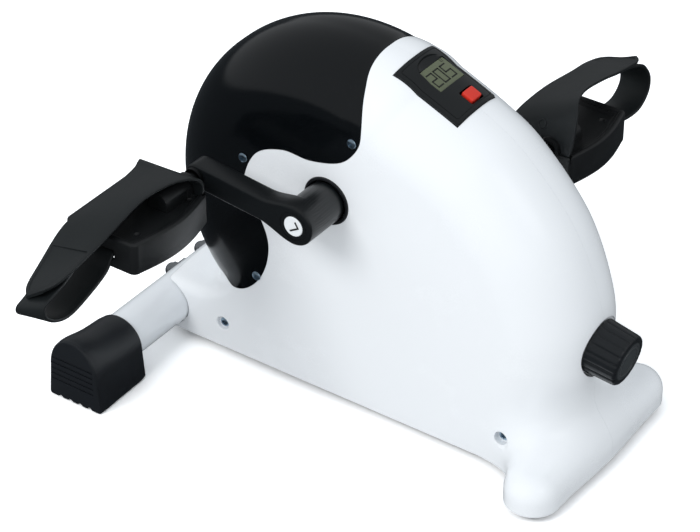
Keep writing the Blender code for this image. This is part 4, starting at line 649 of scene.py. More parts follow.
def cross_screw(node, sign, quarter):
    """A pan-head screw where its node stands, its recess turned by an angle."""
    low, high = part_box(node)
    seat = max(-low.y, high.y) - HEAD_RISE
    profile = [(SHAFT_RADIUS, -SHAFT_LENGTH), (SHAFT_RADIUS, 0.0), (HEAD_RADIUS - 0.0002, 0.0),
               *arc(0.0006, 0.0003, HEAD_RADIUS - 0.0006, 0, 90, 6, HEAD_RISE - 0.0003)]
    place = outwards((low.x + high.x) / 2, seat, (low.z + high.z) / 2, sign)
    screw = turned(profile, 36, place, name=node + "_head", finish=zinc_plate)
    for way in (quarter, quarter + 90.0):
        turn = Matrix.Rotation(math.radians(way), 4, "Z")
        combine(screw, block((-CROSS_LENGTH / 2, -CROSS_WIDTH / 2, HEAD_RISE - CROSS_DEPTH),
                             (CROSS_LENGTH / 2, CROSS_WIDTH / 2, HEAD_RISE * 2), place @ turn))
    sharpen(screw, 30)
    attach(screw, "housing")
    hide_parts(node)


for side, sign in SIDES:
    for number, quarter in ((1, 12.0), (2, 40.0), (3, 71.0)):
        cross_screw(f"{side}_cover_screw_{number}", sign, quarter)
    for number, quarter in ((1, 55.0), (2, 24.0)):
        cross_screw(f"{side}_shell_screw_{number}", sign, quarter)

# The bush rings round the crank holes: black nylon sleeves, flanged inside the housing,
# that stand a little proud of the white wall.
RING_BORE = 0.0182
RING_OUTER = 0.0207
RING_FLANGE = 0.0236
RING_LENGTH = 0.0088
RING_FACE = 0.0621
RING_EDGE = 0.0008
nylon_black = moulded("nylon_black", (0.008, 0.009, 0.011), 0.42, grain=0.0005, depth=0.000015)

for side, sign in SIDES:
    profile = [(RING_BORE, 0.0), (RING_FLANGE - 0.0004, 0.0), (RING_FLANGE, 0.0004), (RING_FLANGE, 0.002),
               (RING_OUTER, 0.002),
               *arc(RING_OUTER - RING_EDGE, RING_LENGTH - RING_EDGE, RING_EDGE, 0, 90, 3),
               (RING_BORE + 0.0005, RING_LENGTH), (RING_BORE, RING_LENGTH - 0.0005)]
    ring = turned(profile, 72, outwards(CRANK_X, RING_FACE - RING_LENGTH, CRANK_Z, sign), hollow=True,
                  name=side + "_bush_sleeve", finish=nylon_black)
    sharpen(ring)
    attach(ring, "housing")
    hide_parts(side + "_bush_ring")

# The monitor: a charcoal ABS case snapped into its pocket, with a display window under a clear lens
# and one red push button in a square well.
CASE_RISE = 0.0014
LENS_LOW = (-0.0187, -0.0132, -0.0009)
LENS_HIGH = (0.0037, 0.0192, 0.0032)
BUTTON_LOW = (0.0149, -0.0016, -0.0068)
BUTTON_HIGH = (0.0258, 0.0116, 0.0066)
WELL_DEPTH = 0.0085
WELL_ROOM = (0.0016, 0.0018)
BEZEL_INSET = 0.0032
BEZEL_WIDTH = 0.0006
BEZEL_DEPTH = 0.0004
SCOOP_MIDDLE = (-0.0177, 0.003)
SCOOP_HALF = (0.0078, 0.015)


def round_rectangle(low, high, corner):
    """Outline of a rectangle with round corners, as (x, y) points."""
    points = []
    for cx, cy, start in ((high[0] - corner, high[1] - corner, 0), (low[0] + corner, high[1] - corner, 90),
                          (low[0] + corner, low[1] + corner, 180), (high[0] - corner, low[1] + corner, 270)):
        points += arc(cx, cy, corner, start, start + 90, 6)
    return points


def pillow_block(name, low, high, corner, edge, finish=None):
    """A block on the monitor's seat with round corners in plan and a rounded top edge."""
    rings = [[(x, y, low[2]) for x, y in round_rectangle(low, high, corner)]]
    for t in np.linspace(0.0, math.pi / 2, 5):
        inset = edge * (1.0 - math.cos(t))
        outline = round_rectangle((low[0] + inset, low[1] + inset), (high[0] - inset, high[1] - inset),
                                  max(corner - inset, 0.0002))
        rings.append([(x, y, high[2] - edge + edge * math.sin(t)) for x, y in outline])
    return loft(name, rings, finish, monitor_place)


case_grey = moulded("case_grey", (0.0075, 0.0092, 0.0102), 0.32, grain=0.0006, depth=0.00003)


def crowned(level, inset):
    """The case's outline drawn up to a level over the housing's crowned skin."""
    form = pillow_block("crown", (-half_length + inset, -MONITOR_HALF + inset, -MONITOR_DEPTH),
                        (half_length - inset, MONITOR_HALF - inset, 0.015), 0.002, 0.0001, case_grey)
    return combine(form, skin_solid(level, case_grey), operation="INTERSECT")


case = crowned(CASE_RISE - 0.0009, 0.0)
case.name = "monitor_shell"
for drop, inset in ((0.0004, 0.0002), (0.0001, 0.0005), (0.0, 0.001)):
    combine(case, crowned(CASE_RISE - drop, inset), operation="UNION")
bezel = crowned(0.006, BEZEL_INSET)
combine(bezel, skin_solid(CASE_RISE - BEZEL_DEPTH, case_grey), crowned(0.008, BEZEL_INSET + BEZEL_WIDTH))
combine(case, bezel)
lens_low = [value - SEAT_GAP for value in LENS_LOW]
lens_high = (LENS_HIGH[0] + SEAT_GAP, LENS_HIGH[1] + SEAT_GAP, 0.02)
well_low = (BUTTON_LOW[0] - WELL_ROOM[0], BUTTON_LOW[1] - WELL_ROOM[1], -WELL_DEPTH)
well_high = (BUTTON_HIGH[0] + WELL_ROOM[0], BUTTON_HIGH[1] + WELL_ROOM[1], 0.02)
scoop = []
for share, height in ((0.35, 0.0024), (0.75, 0.003), (1.0, 0.0042), (1.12, 0.006), (1.2, 0.012)):
    edge = arc(*SCOOP_MIDDLE, SCOOP_HALF[0] * share, 0, 352.5, 47, SCOOP_HALF[1] * share)
    scoop.append([(x, y, height) for x, y in edge])
combine(case, pillow_block("seat", lens_low, lens_high, 0.0012, 0.0002),
        pillow_block("well", well_low, well_high, 0.0016, 0.0002), loft("scoop", scoop, place=monitor_place))
sharpen(case, 30)
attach(case, "housing")
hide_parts("monitor_case")


def display(name, colour):
    """The display under its lens: an uneven grey-green field with a faint dot pitch, under a gloss coat."""
    finish, shader, wire = new_finish(name)
    place = wire.node("TexCoord", output="Object")
    cloud = place.noise(55.0, 2.0)
    pitch = wire.node("TexVoronoi", {"feature": "F1"}, {"Vector": place, "Scale": 2600.0, "Randomness": 0.0})
    join(shader, (cloud * 0.7 + pitch * 0.4).shade(colour, 0.72), cloud * 0.08 + 0.12)
    shader.inputs["Coat Weight"].default_value = 1.0
    shader.inputs["Coat Roughness"].default_value = 0.03
    return finish


display_green = display("display_green", (0.115, 0.135, 0.075))
lens = pillow_block("display_lens", LENS_LOW, LENS_HIGH, 0.001, 0.0003, display_green)
sharpen(lens, 30)
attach(lens, "housing")
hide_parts("lcd_window")

DIGIT_HEIGHT = 0.0128
DIGIT_WIDTH = 0.0062
STROKE = 0.0013
STROKE_GAP = 0.0001
SEGMENTS = {"top": ((0, 1), (1, 1)), "high_left": ((0, 0.5), (0, 1)), "high_right": ((1, 0.5), (1, 1)),
            "middle": ((0, 0.5), (1, 0.5)), "low_left": ((0, 0), (0, 0.5)), "low_right": ((1, 0), (1, 0.5)),
            "bottom": ((0, 0), (1, 0))}
NUMERALS = {"0": ("top", "high_left", "high_right", "low_left", "low_right", "bottom"),
            "1": ("high_right", "low_right"), "2": ("top", "high_right", "middle", "low_left", "bottom"),
            "5": ("top", "high_left", "middle", "low_right", "bottom")}
strokes = bmesh.new()


def stroke_box(x0, x1, y0, y1):
    """One flat stroke on the lens, between two places down the slope and two across it."""
    low, high = Vector((x0, y0, LENS_HIGH[2])), Vector((x1, y1, LENS_HIGH[2] + 0.00006))
    made = bmesh.ops.create_cube(strokes, size=1.0)["verts"]
    bmesh.ops.scale(strokes, vec=high - low, verts=made)
    bmesh.ops.translate(strokes, vec=(low + high) / 2, verts=made)


def show_number(text, foot_x, left_y, size):
    """Numerals of the display, read from the lower edge of the slope."""
    for numeral in text:
        for name in NUMERALS[numeral]:
            (ay, ax), (by, bx) = SEGMENTS[name]
            y0, y1 = left_y + ay * DIGIT_WIDTH * size, left_y + by * DIGIT_WIDTH * size
            x0, x1 = foot_x - bx * DIGIT_HEIGHT * size, foot_x - ax * DIGIT_HEIGHT * size
            half_stroke = STROKE * size / 2
            trim_x, trim_y = (STROKE_GAP, 0.0) if y0 == y1 else (0.0, STROKE_GAP * 2)
            stroke_box(x0 - half_stroke + trim_x, x1 + half_stroke - trim_x,
                       y0 - half_stroke + trim_y, y1 + half_stroke - trim_y)
        left_y += (DIGIT_WIDTH + STROKE * 2.2) * size


show_number("205", -0.0005, -0.0098, 1.0)
show_number("10", -0.0155, 0.0125, 0.25)
display_ink = moulded("display_ink", (0.012, 0.014, 0.01), 0.3, depth=0.0)
digits = solid("display_digits", strokes, display_ink, monitor_place)
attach(digits, "housing")

button_red = moulded("button_red", (0.66, 0.035, 0.02), 0.3, grain=0.0005, depth=0.00002)
button = pillow_block("start_button", BUTTON_LOW, BUTTON_HIGH, 0.0016, 0.0012, button_red)
sharpen(button, 40)
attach(button, "button_body")
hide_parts("red_button")

# The stabiliser: a 40 mm steel tube in glossy white powder coat across the tail, held by two carriage
# bolts whose dome nuts and curved washers are plated.
TUBE_END = 0.18
TUBE_WALL = 0.002
BOLT_Y = 0.02
BOLT_HOLE = 0.0046
BOLT_RADIUS = 0.004
BOLT_LENGTH = 0.0525
NUT_SEAT = -0.3945
BOLT_END = -0.3485
WASHER_THICK = 0.0019
WASHER_HALF = 0.01


def powder_coat(name, colour, roughness):
    """Powder coat: gloss with a fine orange peel and a few duller patches."""
    finish, shader, wire = new_finish(name)
    place = wire.node("TexCoord", output="Object")
    peel = place.noise(700.0, 1.5, 0.4)
    patch = place.noise(14.0, 3.0, 0.6)
    join(shader, patch.shade(colour, 0.965), patch * 0.14 + (roughness - 0.07), peel, 0.00003, 0.35)
    shader.inputs["Coat Weight"].default_value = 0.4
    shader.inputs["Coat Roughness"].default_value = 0.08
    return finish


tube_white = powder_coat("tube_white", (0.84, 0.875, 0.91), 0.24)
inner_radius = TUBE_RADIUS - TUBE_WALL
wall = [(TUBE_RADIUS, 0.0), (TUBE_RADIUS, 2 * TUBE_END), (inner_radius, 2 * TUBE_END), (inner_radius, 0.0)]
tube = turned(wall, 96, along(TUBE_X, -TUBE_END, TUBE_Z, (0, 1, 0)), hollow=True, name="cross_bar",
              finish=tube_white)
bolt_hole = [(BOLT_HOLE, -0.03), (BOLT_HOLE, 0.03)]
for side, sign in SIDES:
    combine(tube, turned(bolt_hole, 32, along(TUBE_X, sign * BOLT_Y, TUBE_Z, (1, 0, 0))))
sharpen(tube)
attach(tube, "housing")
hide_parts("stabiliser_tube")

nut_plate = plated("nut_plate", (0.44, 0.46, 0.48), 0.34)

for side, sign in SIDES:
    place = along(NUT_SEAT, sign * BOLT_Y, TUBE_Z, (-1, 0, 0))
    dome = [(0.0044, -0.001), (0.0062, -0.0008),
            *arc(0.0, 0.0046, 0.0062, 0, 80, 8, 0.0053), (0.0008, 0.0099)]
    nut = turned(dome, 48, place, name=side + "_acorn_nut", finish=nut_plate)
    flats = turned([(0.0075, -0.0008), (0.0075, 0.004), (0.0068, 0.0046)], 6, place)
    under = TUBE_RADIUS + SEAT_GAP
    section = arc(TUBE_X, TUBE_Z, under + WASHER_THICK, 156, 204, 16)
    section += arc(TUBE_X, TUBE_Z, under, 204, 156, 16)
    washer = prism(section, sign * BOLT_Y - WASHER_HALF, sign * BOLT_Y + WASHER_HALF)
    combine(nut, flats, washer, operation="UNION")
    combine(nut, turned([(BOLT_RADIUS, -0.02), (BOLT_RADIUS, 0.0072)], 24, place))
    sharpen(nut, 30)
    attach(nut, "housing")
    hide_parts(side + "_dome_nut")
    place = along(BOLT_END, sign * BOLT_Y, TUBE_Z, (-1, 0, 0))
    profile = [*arc(0.0, 0.0, 0.008, 80, 0, 8, -0.0038), (BOLT_RADIUS, 0.0), (BOLT_RADIUS, BOLT_LENGTH)]
    bolt = turned(profile, 40, place, name=side + "_carriage_bolt", finish=nut_plate)
    sharpen(bolt, 30)
    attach(bolt, "housing")
    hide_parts(side + "_stabiliser_bolt")

# The end caps: soft black PVC boots pushed over the tube, rising towards their ends, with grooves
# along the sole and five thin grooves across the end face.
CAP_MIDDLE = -0.37295
CAP_END = 0.183
CAP_SECTIONS = ((0.122, 0.0235, 0.053), (0.15, 0.0238, 0.056), (0.168, 0.0243, 0.0605),
                (0.1755, 0.0245, 0.062), (0.18, 0.0243, 0.0616))
CAP_CORNER = 0.0022
CAP_SPREAD = 0.0024
CAP_EDGE = 0.0022
SOLE_GROOVES = (-0.0152, -0.0051, 0.0051, 0.0152)
GROOVE_RADIUS = 0.0031
END_GROOVES = 5


def soft_black(name, colour, roughness, grain=0.0006):
    """Soft black plastic: a matt grain, a pale bloom in patches and slightly polished spots."""
    finish, shader, wire = new_finish(name)
    place = wire.node("TexCoord", output="Object")
    fine = place.noise(1.0 / grain, 4.0, 0.65)
    patch = place.noise(26.0, 4.0, 0.6)
    pale = [c * 1.35 + 0.004 for c in colour]
    gloss = patch * 0.16 + (fine * 0.08 + (roughness - 0.12))
    join(shader, (patch * patch).blend(colour, pale), gloss, fine, 0.00005)
    return finish


cap_pvc = soft_black("cap_pvc", (0.008, 0.01, 0.013), 0.42)


def cap_ring(half, top, inset, y):
    """Section of an end cap: flat sole with small corners, sides that spread downwards and an arched top."""
    half, height = half - inset, top - TUBE_Z - inset
    sole = half + CAP_SPREAD - CAP_CORNER
    points = arc(CAP_MIDDLE + sole, inset + CAP_CORNER, CAP_CORNER, -90, 0, 3)
    points += arc(CAP_MIDDLE, TUBE_Z, half, 0, 180, 32, height)
    points += arc(CAP_MIDDLE - sole, inset + CAP_CORNER, CAP_CORNER, 180, 270, 3)
    return [(x, y, z) for x, z in points]


for side, sign in SIDES:
    line = spline(CAP_SECTIONS, 4)
    rings = [cap_ring(line[0][1], line[0][2], 0.0008, sign * line[0][0])]
    rings += [cap_ring(half, top, 0.0, sign * y) for y, half, top in line[1:] if y < CAP_END - CAP_EDGE]
    for y, shrink in arc(CAP_END - CAP_EDGE, -CAP_EDGE, CAP_EDGE, 90, 0, 5):
        rings.append(cap_ring(*CAP_SECTIONS[-1][1:], -shrink, sign * y))
    boot = loft(side + "_boot", rings, cap_pvc)
    start = sign * (CAP_SECTIONS[0][0] - 0.01)
    combine(boot, rod(TUBE_X, TUBE_Z, start, sign * (TUBE_END + SEAT_GAP), TUBE_RADIUS + 0.0004, 72))
    for x in SOLE_GROOVES:
        combine(boot, rod(CAP_MIDDLE + x, 0.0002, start, sign * (CAP_END + 0.01), GROOVE_RADIUS, 24))
    for i in range(END_GROOVES):
        low_z = 0.0172 + 0.0054 * i
        low = (CAP_MIDDLE - 0.04, CAP_END - 0.001, low_z)
        high = (CAP_MIDDLE + 0.0205, CAP_END + 0.007, low_z + 0.0016)
        combine(boot, side_block(low, high, sign))
    sharpen(boot, 30)
    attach(boot, "housing")
    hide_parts(side + "_end_cap")

# The sole under the front foot: a slot-shaped black rubber pad whose plug stands in the open foot.
PAD_END_Y = 0.0768
PAD_PROFILE = ((0.015, 0.0), (0.016, 0.0004), (0.0165, 0.0015), (0.0165, 0.0069), (0.013, 0.0069),
               (0.013, 0.0117))
rings = []
for radius, z in PAD_PROFILE:
    slot = arc(0.0, PAD_END_Y, radius, 0, 180, 24) + arc(0.0, -PAD_END_Y, radius, 180, 360, 24)
    rings.append([(x, y, z) for x, y in slot])
pad = loft("foot_sole", rings, soft_black("sole_rubber", (0.018, 0.019, 0.021), 0.62, grain=0.0008))
sharpen(pad)
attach(pad, "housing")
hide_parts("front_foot_pad")

# The crank arms: forged steel in black satin paint, each with a long round boss on the spindle, a blade
# that flares into it and a pedal eye; a white plastic cap with a side letter closes the bolt hole.
CRANK_LENGTH = 0.0945
CRANK_ANGLE = math.radians(173.65)
PEDAL_AXLES = {side: (CRANK_X - sign * CRANK_LENGTH * math.cos(CRANK_ANGLE),
                      CRANK_Z - sign * CRANK_LENGTH * math.sin(CRANK_ANGLE)) for side, sign in SIDES}
ARM_BOSS = 0.0172
ARM_INNER = 0.0867
ARM_OUTER = 0.1047
BOSS_INNER = 0.0607
ARM_HALF = 0.0102
ARM_FLARE = 0.016
ARM_EDGE = 0.0022
CAP_DEPTH = 0.0042
SPINDLE_HOLE = 0.0086
CAP_HOLE = 0.0091
EYE_HOLE = 0.0059
arm_satin = moulded("arm_satin", (0.0065, 0.008, 0.0092), 0.32, grain=0.0007, depth=0.00004, tint=0.2)
letter_white = moulded("letter_white", (0.8, 0.83, 0.85), 0.32)
letter_ink = moulded("letter_ink", (0.016, 0.016, 0.016), 0.45, depth=0.0)
axle_steel = plated("axle_steel", (0.58, 0.59, 0.6), 0.3)
axle_black = plated("axle_black", (0.045, 0.047, 0.05), 0.38)
LETTERS = {"left": (((0.0, 0.0), (0.0, 1.0)), ((0.0, 0.0), (0.6, 0.0))),
           "right": (((0.0, 0.0), (0.0, 1.0)), ((0.0, 1.0), (0.5, 1.0)), ((0.5, 1.0), (0.6, 0.85)),
                     ((0.6, 0.85), (0.6, 0.62)), ((0.6, 0.62), (0.5, 0.5)), ((0.5, 0.5), (0.0, 0.5)),
                     ((0.25, 0.5), (0.62, 0.0)))}
LETTER_HEIGHT = 0.0082
LETTER_STROKE = 0.0013
LETTER_LEVELS = (0.004, 0.00465)
LETTER_TURN = math.radians(121.0)


def arm_outline(grow):
    """Outline of a crank arm along local X: round boss, hollow flare, blade and round end."""
    boss, half = ARM_BOSS + grow, ARM_HALF + grow
    upper = arc(0.0, 0.0, boss, 180, 90, 12)
    for share in np.linspace(0.0, 1.0, 15)[1:]:
        upper.append((share * (ARM_BOSS + ARM_FLARE), half + (boss - half) * (1.0 - smooth_step(share))))
    upper += arc(CRANK_LENGTH, 0.0, half, 90, 0, 10)
    return upper + [(x, -z) for x, z in reversed(upper[1:-1])]


def rounded_levels(low, high, edge):
    """Heights of a block whose two rims are rounded, each with the step out of its outline there."""
    return arc(low + edge, -edge, edge, 180, 90, 4) + arc(high - edge, -edge, edge, 90, 0, 4)


def letter_mesh(side, place):
    """The side letter in raised strokes with round ends."""
    pieces = None
    for (ax, ay), (bx, by) in LETTERS[side]:
        start = Vector((ax - 0.3, ay - 0.5)) * LETTER_HEIGHT
        end = Vector((bx - 0.3, by - 0.5)) * LETTER_HEIGHT
        way = (end - start).normalized()
        across = Vector((-way.y, way.x)) * LETTER_STROKE / 2
        tip = way * LETTER_STROKE / 2
        outline = [start - tip + across, start - tip - across, end + tip - across, end + tip + across]
        rings = [[(p.x, p.y, z) for p in outline] for z in LETTER_LEVELS]
        stroke = loft(side + "_letter", rings, letter_ink, place)
        pieces = stroke if pieces is None else combine(pieces, stroke, operation="UNION")
    return pieces


for side, sign in SIDES:
    angle = CRANK_ANGLE if side == "left" else CRANK_ANGLE - math.pi
    turn = Matrix.Translation((CRANK_X, 0.0, CRANK_Z)) @ Matrix.Rotation(-angle, 4, "Y")
    rings = [[(x, sign * y, z) for x, z in arm_outline(grow)]
             for y, grow in rounded_levels(ARM_INNER, ARM_OUTER, ARM_EDGE)]
    arm = loft(side + "_crank", rings, arm_satin, turn)
    boss_profile = [(ARM_BOSS + grow, y) for y, grow in rounded_levels(0.0, 0.03, 0.0015)]
    boss = turned(boss_profile, 72, outwards(CRANK_X, BOSS_INNER, CRANK_Z, sign))
    combine(arm, boss, operation="UNION")
    eye_x, eye_z = PEDAL_AXLES[side]
    outer = sign * (ARM_OUTER + 0.01)
    groove = [(0.0124, 0.0), (0.0124, 0.005), (0.0118, 0.005), (0.0118, 0.0)]
    combine(arm, rod(CRANK_X, CRANK_Z, sign * (BOSS_INNER - 0.01), sign * ARM_OUTER, SPINDLE_HOLE, 40),
            rod(CRANK_X, CRANK_Z, sign * (ARM_OUTER - CAP_DEPTH), outer, CAP_HOLE, 56),
            rod(eye_x, eye_z, sign * 0.05, outer, EYE_HOLE, 32),
            turned(groove, 64, outwards(CRANK_X, ARM_OUTER - 0.0004, CRANK_Z, sign), hollow=True))
    sharpen(arm, 32)
    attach(arm, "crank")
    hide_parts(side + "_crank_arm")

    disc = [(0.0087, 0.0008), (0.0087, 0.0036), *arc(0.0079, 0.0036, 0.0008, 30, 90, 2), (0.007, 0.0043)]
    cap = turned(disc, 64, outwards(CRANK_X, ARM_OUTER - CAP_DEPTH, CRANK_Z, sign),
                 name=side + "_bolt_cover", finish=letter_white)
    sharpen(cap, 40)
    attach(cap, "crank")
    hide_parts(side + "_crank_cap")
    face = Matrix(((-sign, 0, 0), (0, 0, 1), (0, sign, 0))).transposed()
    letter_place = (Matrix.Translation((CRANK_X, sign * (ARM_OUTER - CAP_DEPTH), CRANK_Z)) @ face.to_4x4()
                    @ Matrix.Rotation(LETTER_TURN, 4, "Z"))
    letter = letter_mesh(side, letter_place)
    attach(letter, "crank")
    axle_profile = [(0.0053, 0.0), (0.0053, 0.0183), (0.0082, 0.0183), (0.0085, 0.0186), (0.0085, 0.0212),
                    (0.0082, 0.0215), (0.0059, 0.0215), (0.0059, 0.056), (0.0054, 0.0565)]
    axle = turned(axle_profile, 40, outwards(eye_x, ARM_INNER, eye_z, sign), name=side + "_axle_pin",
                  finish=axle_black)
    sharpen(axle, 30)
    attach(axle, "crank")
    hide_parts(side + "_pedal_axle")

# The pedals: moulded black PVC with a bowed heel, a dished deck behind a raised rim, ribs below and a
# round tunnel over the steel axle; two small dimples mark the mould's pins.
PEDAL_INNER = 0.1144
PEDAL_OUTER = 0.2063
PEDAL_HEEL = 0.0209
PEDAL_TOE = -0.048
PEDAL_BOW = 0.0065
PEDAL_TOP = -0.0018
PEDAL_BOTTOM = -0.0291
PEDAL_CORNER = 0.006
PEDAL_RIM = 0.005
PEDAL_DISH = 0.0036
PEDAL_DECK = 0.0132
TUNNEL_RADIUS = 0.0092
TUNNEL_END = 0.152
AXLE_BORE = 0.0065
PEDAL_WALL = 0.003
RIBS = ((-0.0251, -0.0229, 0.1, 0.22), (0.0009, 0.0031, 0.1, 0.22),
        (-0.06, 0.045, 0.1589, 0.1611))
STRAP_SLOTS = ((-0.0495, -0.01, 0.1168, 0.1206, -0.0078, 0.01),
               (0.01, 0.02, 0.1168, 0.1206, -0.0078, 0.01),
               (-0.0295, 0.0005, 0.2024, 0.215, -0.0215, -0.0125))
DIMPLE = ((0.0031, 0.01), (0.0031, 0.0001), (0.0028, -0.0004), (0.002, -0.001), (0.001, -0.0013))
pedal_pvc = soft_black("pedal_pvc", (0.0068, 0.0078, 0.0086), 0.38, grain=0.0007)


def pedal_outline(grow):
    """Plan of the pedal, as (x, y) from the axle, with rounded corners and a bowed heel."""
    inner, outer = PEDAL_INNER - grow, PEDAL_OUTER + grow
    toe, heel = PEDAL_TOE - grow, PEDAL_HEEL + grow
    corner = max(PEDAL_CORNER + grow, 0.001)
    points = []
    for cx, cy, start in ((toe + corner, inner + corner, 180), (heel - corner, inner + corner, 270),
                          (heel - corner, outer - corner, 0), (toe + corner, outer - corner, 90)):
        if start == 0:
            for share in np.linspace(0.0, 1.0, 22)[1:-1]:
                points.append((heel + PEDAL_BOW * math.sin(math.pi * share),
                               inner + corner + (outer - inner - 2 * corner) * share))
        points += arc(cx, cy, corner, start, start + 90, 6)
    return points


def pedal_solid(name, levels, x, z, sign):
    """The pedal's plan drawn through heights, each with the step out of its outline there."""
    rings = [[(x + px, sign * py, z + level) for px, py in pedal_outline(grow)] for level, grow in levels]
    return loft(name, rings, pedal_pvc)


for side, sign in SIDES:
    x, z = PEDAL_AXLES[side]
    dish = PEDAL_TOP - PEDAL_DISH
    levels = [(PEDAL_BOTTOM, -0.0012), (PEDAL_BOTTOM + 0.0004, -0.0004), (PEDAL_BOTTOM + 0.0014, 0.0),
              (PEDAL_TOP - 0.0016, 0.0), (PEDAL_TOP - 0.0008, -0.0002), (PEDAL_TOP - 0.0002, -0.0008),
              (PEDAL_TOP, -0.0016), (PEDAL_TOP, -PEDAL_RIM + 0.0006), (PEDAL_TOP - 0.0003, -PEDAL_RIM),
              (PEDAL_TOP - 0.0014, -PEDAL_RIM - 0.0006), (PEDAL_TOP - 0.0016, -PEDAL_RIM - 0.0022),
              (dish + 0.0003, -PEDAL_RIM - 0.0036), (dish, -PEDAL_RIM - 0.0046)]
    tread = pedal_solid(side + "_tread", levels, x, z, sign)
    start = PEDAL_INNER + 0.0002
    web = side_block((x - TUNNEL_RADIUS, start, z - 0.008), (x + TUNNEL_RADIUS, TUNNEL_END, z), sign)
    combine(tread, rod(x, z, sign * start, sign * TUNNEL_END, TUNNEL_RADIUS, 56), web, operation="UNION")
    levels = [(PEDAL_BOTTOM - 0.003, -PEDAL_WALL), (PEDAL_TOP - PEDAL_DECK - 0.0018, -PEDAL_WALL)]
    hollow = pedal_solid("hollow", levels, x, z, sign)
    for low_x, high_x, start, end in RIBS:
        combine(hollow, side_block((x + low_x, start, z - 0.05), (x + high_x, end, z), sign))
    combine(tread, hollow, rod(x, z, sign * 0.1, sign * 0.15, AXLE_BORE, 40))
    for low_x, high_x, start, end, low_z, high_z in STRAP_SLOTS:
        combine(tread, side_block((x + low_x, start, z + low_z), (x + high_x, end, z + high_z), sign))
    for dimple_x, dimple_y in ((0.0083, 0.1871), (0.0118, 0.1268)):
        combine(tread, turned(DIMPLE, 32, along(x + dimple_x, sign * dimple_y, z + dish, (0, 0, 1))))
    sharpen(tread, 32)
    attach(tread, side + "_pedal_body")
    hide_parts(side + "_pedal")

# The straps: flexible black PVC bands, 3 mm thick, hooked into the pedal's slots; the wide one arches
# over the foot, the narrow one comes up outside it and tucks under its end.
STRAP_HALF = 0.0015
STUD_POINT = (-0.1251, 0.124, 0.2014)
STUD_RING = ((0.0029, -0.0006), (0.004, -0.0006), (0.004, 0.0005), (0.0037, 0.0008), (0.0032, 0.0008),
             (0.0029, 0.0005))
STRAP_EDGE = 0.0011
AXLE_ROOM = 0.0104
# Places along each strap in millimetres: distance from the middle plane, heights of the toe edge and of
# the heel edge over the pedal's axle, and where these two edges lie along X from it.
STRAP_PATHS = {
    ("left", "inner"): (
        (118.7, -7.4, -7.4, -44, 15), (118.8, 0.8, 0.8, -47, 19), (121.5, 8.5, 10.8, -42.5, 20.5),
        (131, 7, 18.3, -39.5, 18), (146, 5, 19.3, -39, 10.5), (166, 4, 16.3, -39, 4),
        (184, 3, 12.3, -39.5, 2), (217, 0.2, 3.8, -39.5, 2), (248, -17, -1.8, -38.5, 2),
        (269, -22.5, -6.6, -33, 0), (281, -22, -10, -23, -6)),
    ("left", "outer"): (
        (203.2, -16.2, -16.2, -28, -1), (209, -20, -20, -29, 0),
        (216, -28, -28, -29, 0), (236, -36.7, -36.2, -29, 0),
        (258, -43.2, -41.7, -29, 0), (274, -41, -38, -29, 0),
        (285, -35.5, -29, -29, 0), (286, -30, -19, -29, 0),
        (278, -26.8, -15, -29, 0), (262, -20.2, -10.2, -29, 0),
        (245, -14, -6.4, -26, -3)),
    ("right", "inner"): (
        (118.7, -7.4, -7.4, -44, 15), (118.8, 0.8, 0.8, -48, 19), (121, 7, 14.7, -44, 20.5),
        (127, 12, 32.7, -42, 19), (140, 18.5, 38.2, -38.5, 12), (165, 22.7, 33.7, -34.5, 4.5),
        (199, 21.2, 26.2, -31, 2), (220, 18.7, 21, -31, 2), (242, 13, 17, -31, 2),
        (258, 7, 13.7, -29, 0), (266, 4, 11.8, -23, -6)),
    ("right", "outer"): (
        (203.2, -16.2, -16.2, -28, -1), (209, -19, -19, -29, 0),
        (225, -29.3, -29.3, -29, 0), (246, -36.3, -36.3, -29, 0),
        (267, -37.8, -36.8, -29, 0), (280, -29.3, -27.3, -29, 0),
        (281.5, -17.3, -14.3, -29, 0), (275, -6, -3, -29, 0),
        (264, -0.5, 6.5, -29, 0), (244, 8.2, 12.2, -26, -3)),
}
strap_pvc = soft_black("strap_pvc", (0.0075, 0.0098, 0.0108), 0.46, grain=0.0005)


def strap_band(name, line, x, z, sign, low, high, inset):
    """A band that follows its path between two offsets from its middle, its long edges rounded."""
    heading = np.gradient(np.column_stack([line[:, 0], line[:, 1:3].mean(axis=1)]), axis=0)
    heading /= np.linalg.norm(heading, axis=1)[:, None]
    edge = min(STRAP_EDGE, (high - low) / 2.2)
    rings = []
    for (y, toe_z, heel_z, toe_x, heel_x), (run, rise) in zip(line, heading):
        width = heel_x - toe_x - 2 * inset
        section = arc(edge, high - edge, edge, 180, 90, 3)
        section += [(width * share, high) for share in (0.25, 0.5, 0.75)]
        section += arc(width - edge, high - edge, edge, 90, 0, 3)
        section += arc(width - edge, low + edge, edge, 0, -90, 3)
        section += [(width * share, low) for share in (0.75, 0.5, 0.25)]
        section += arc(edge, low + edge, edge, -90, -180, 3)
        ring = []
        for d, shift in section:
            share = (inset + d) / (heel_x - toe_x)
            edge_x, edge_z = toe_x + (heel_x - toe_x) * share, toe_z + (heel_z - toe_z) * share
            ring.append((x + edge_x, sign * (y - rise * shift), z + edge_z + run * shift))
        rings.append(ring)
    return loft(name, rings, strap_pvc)


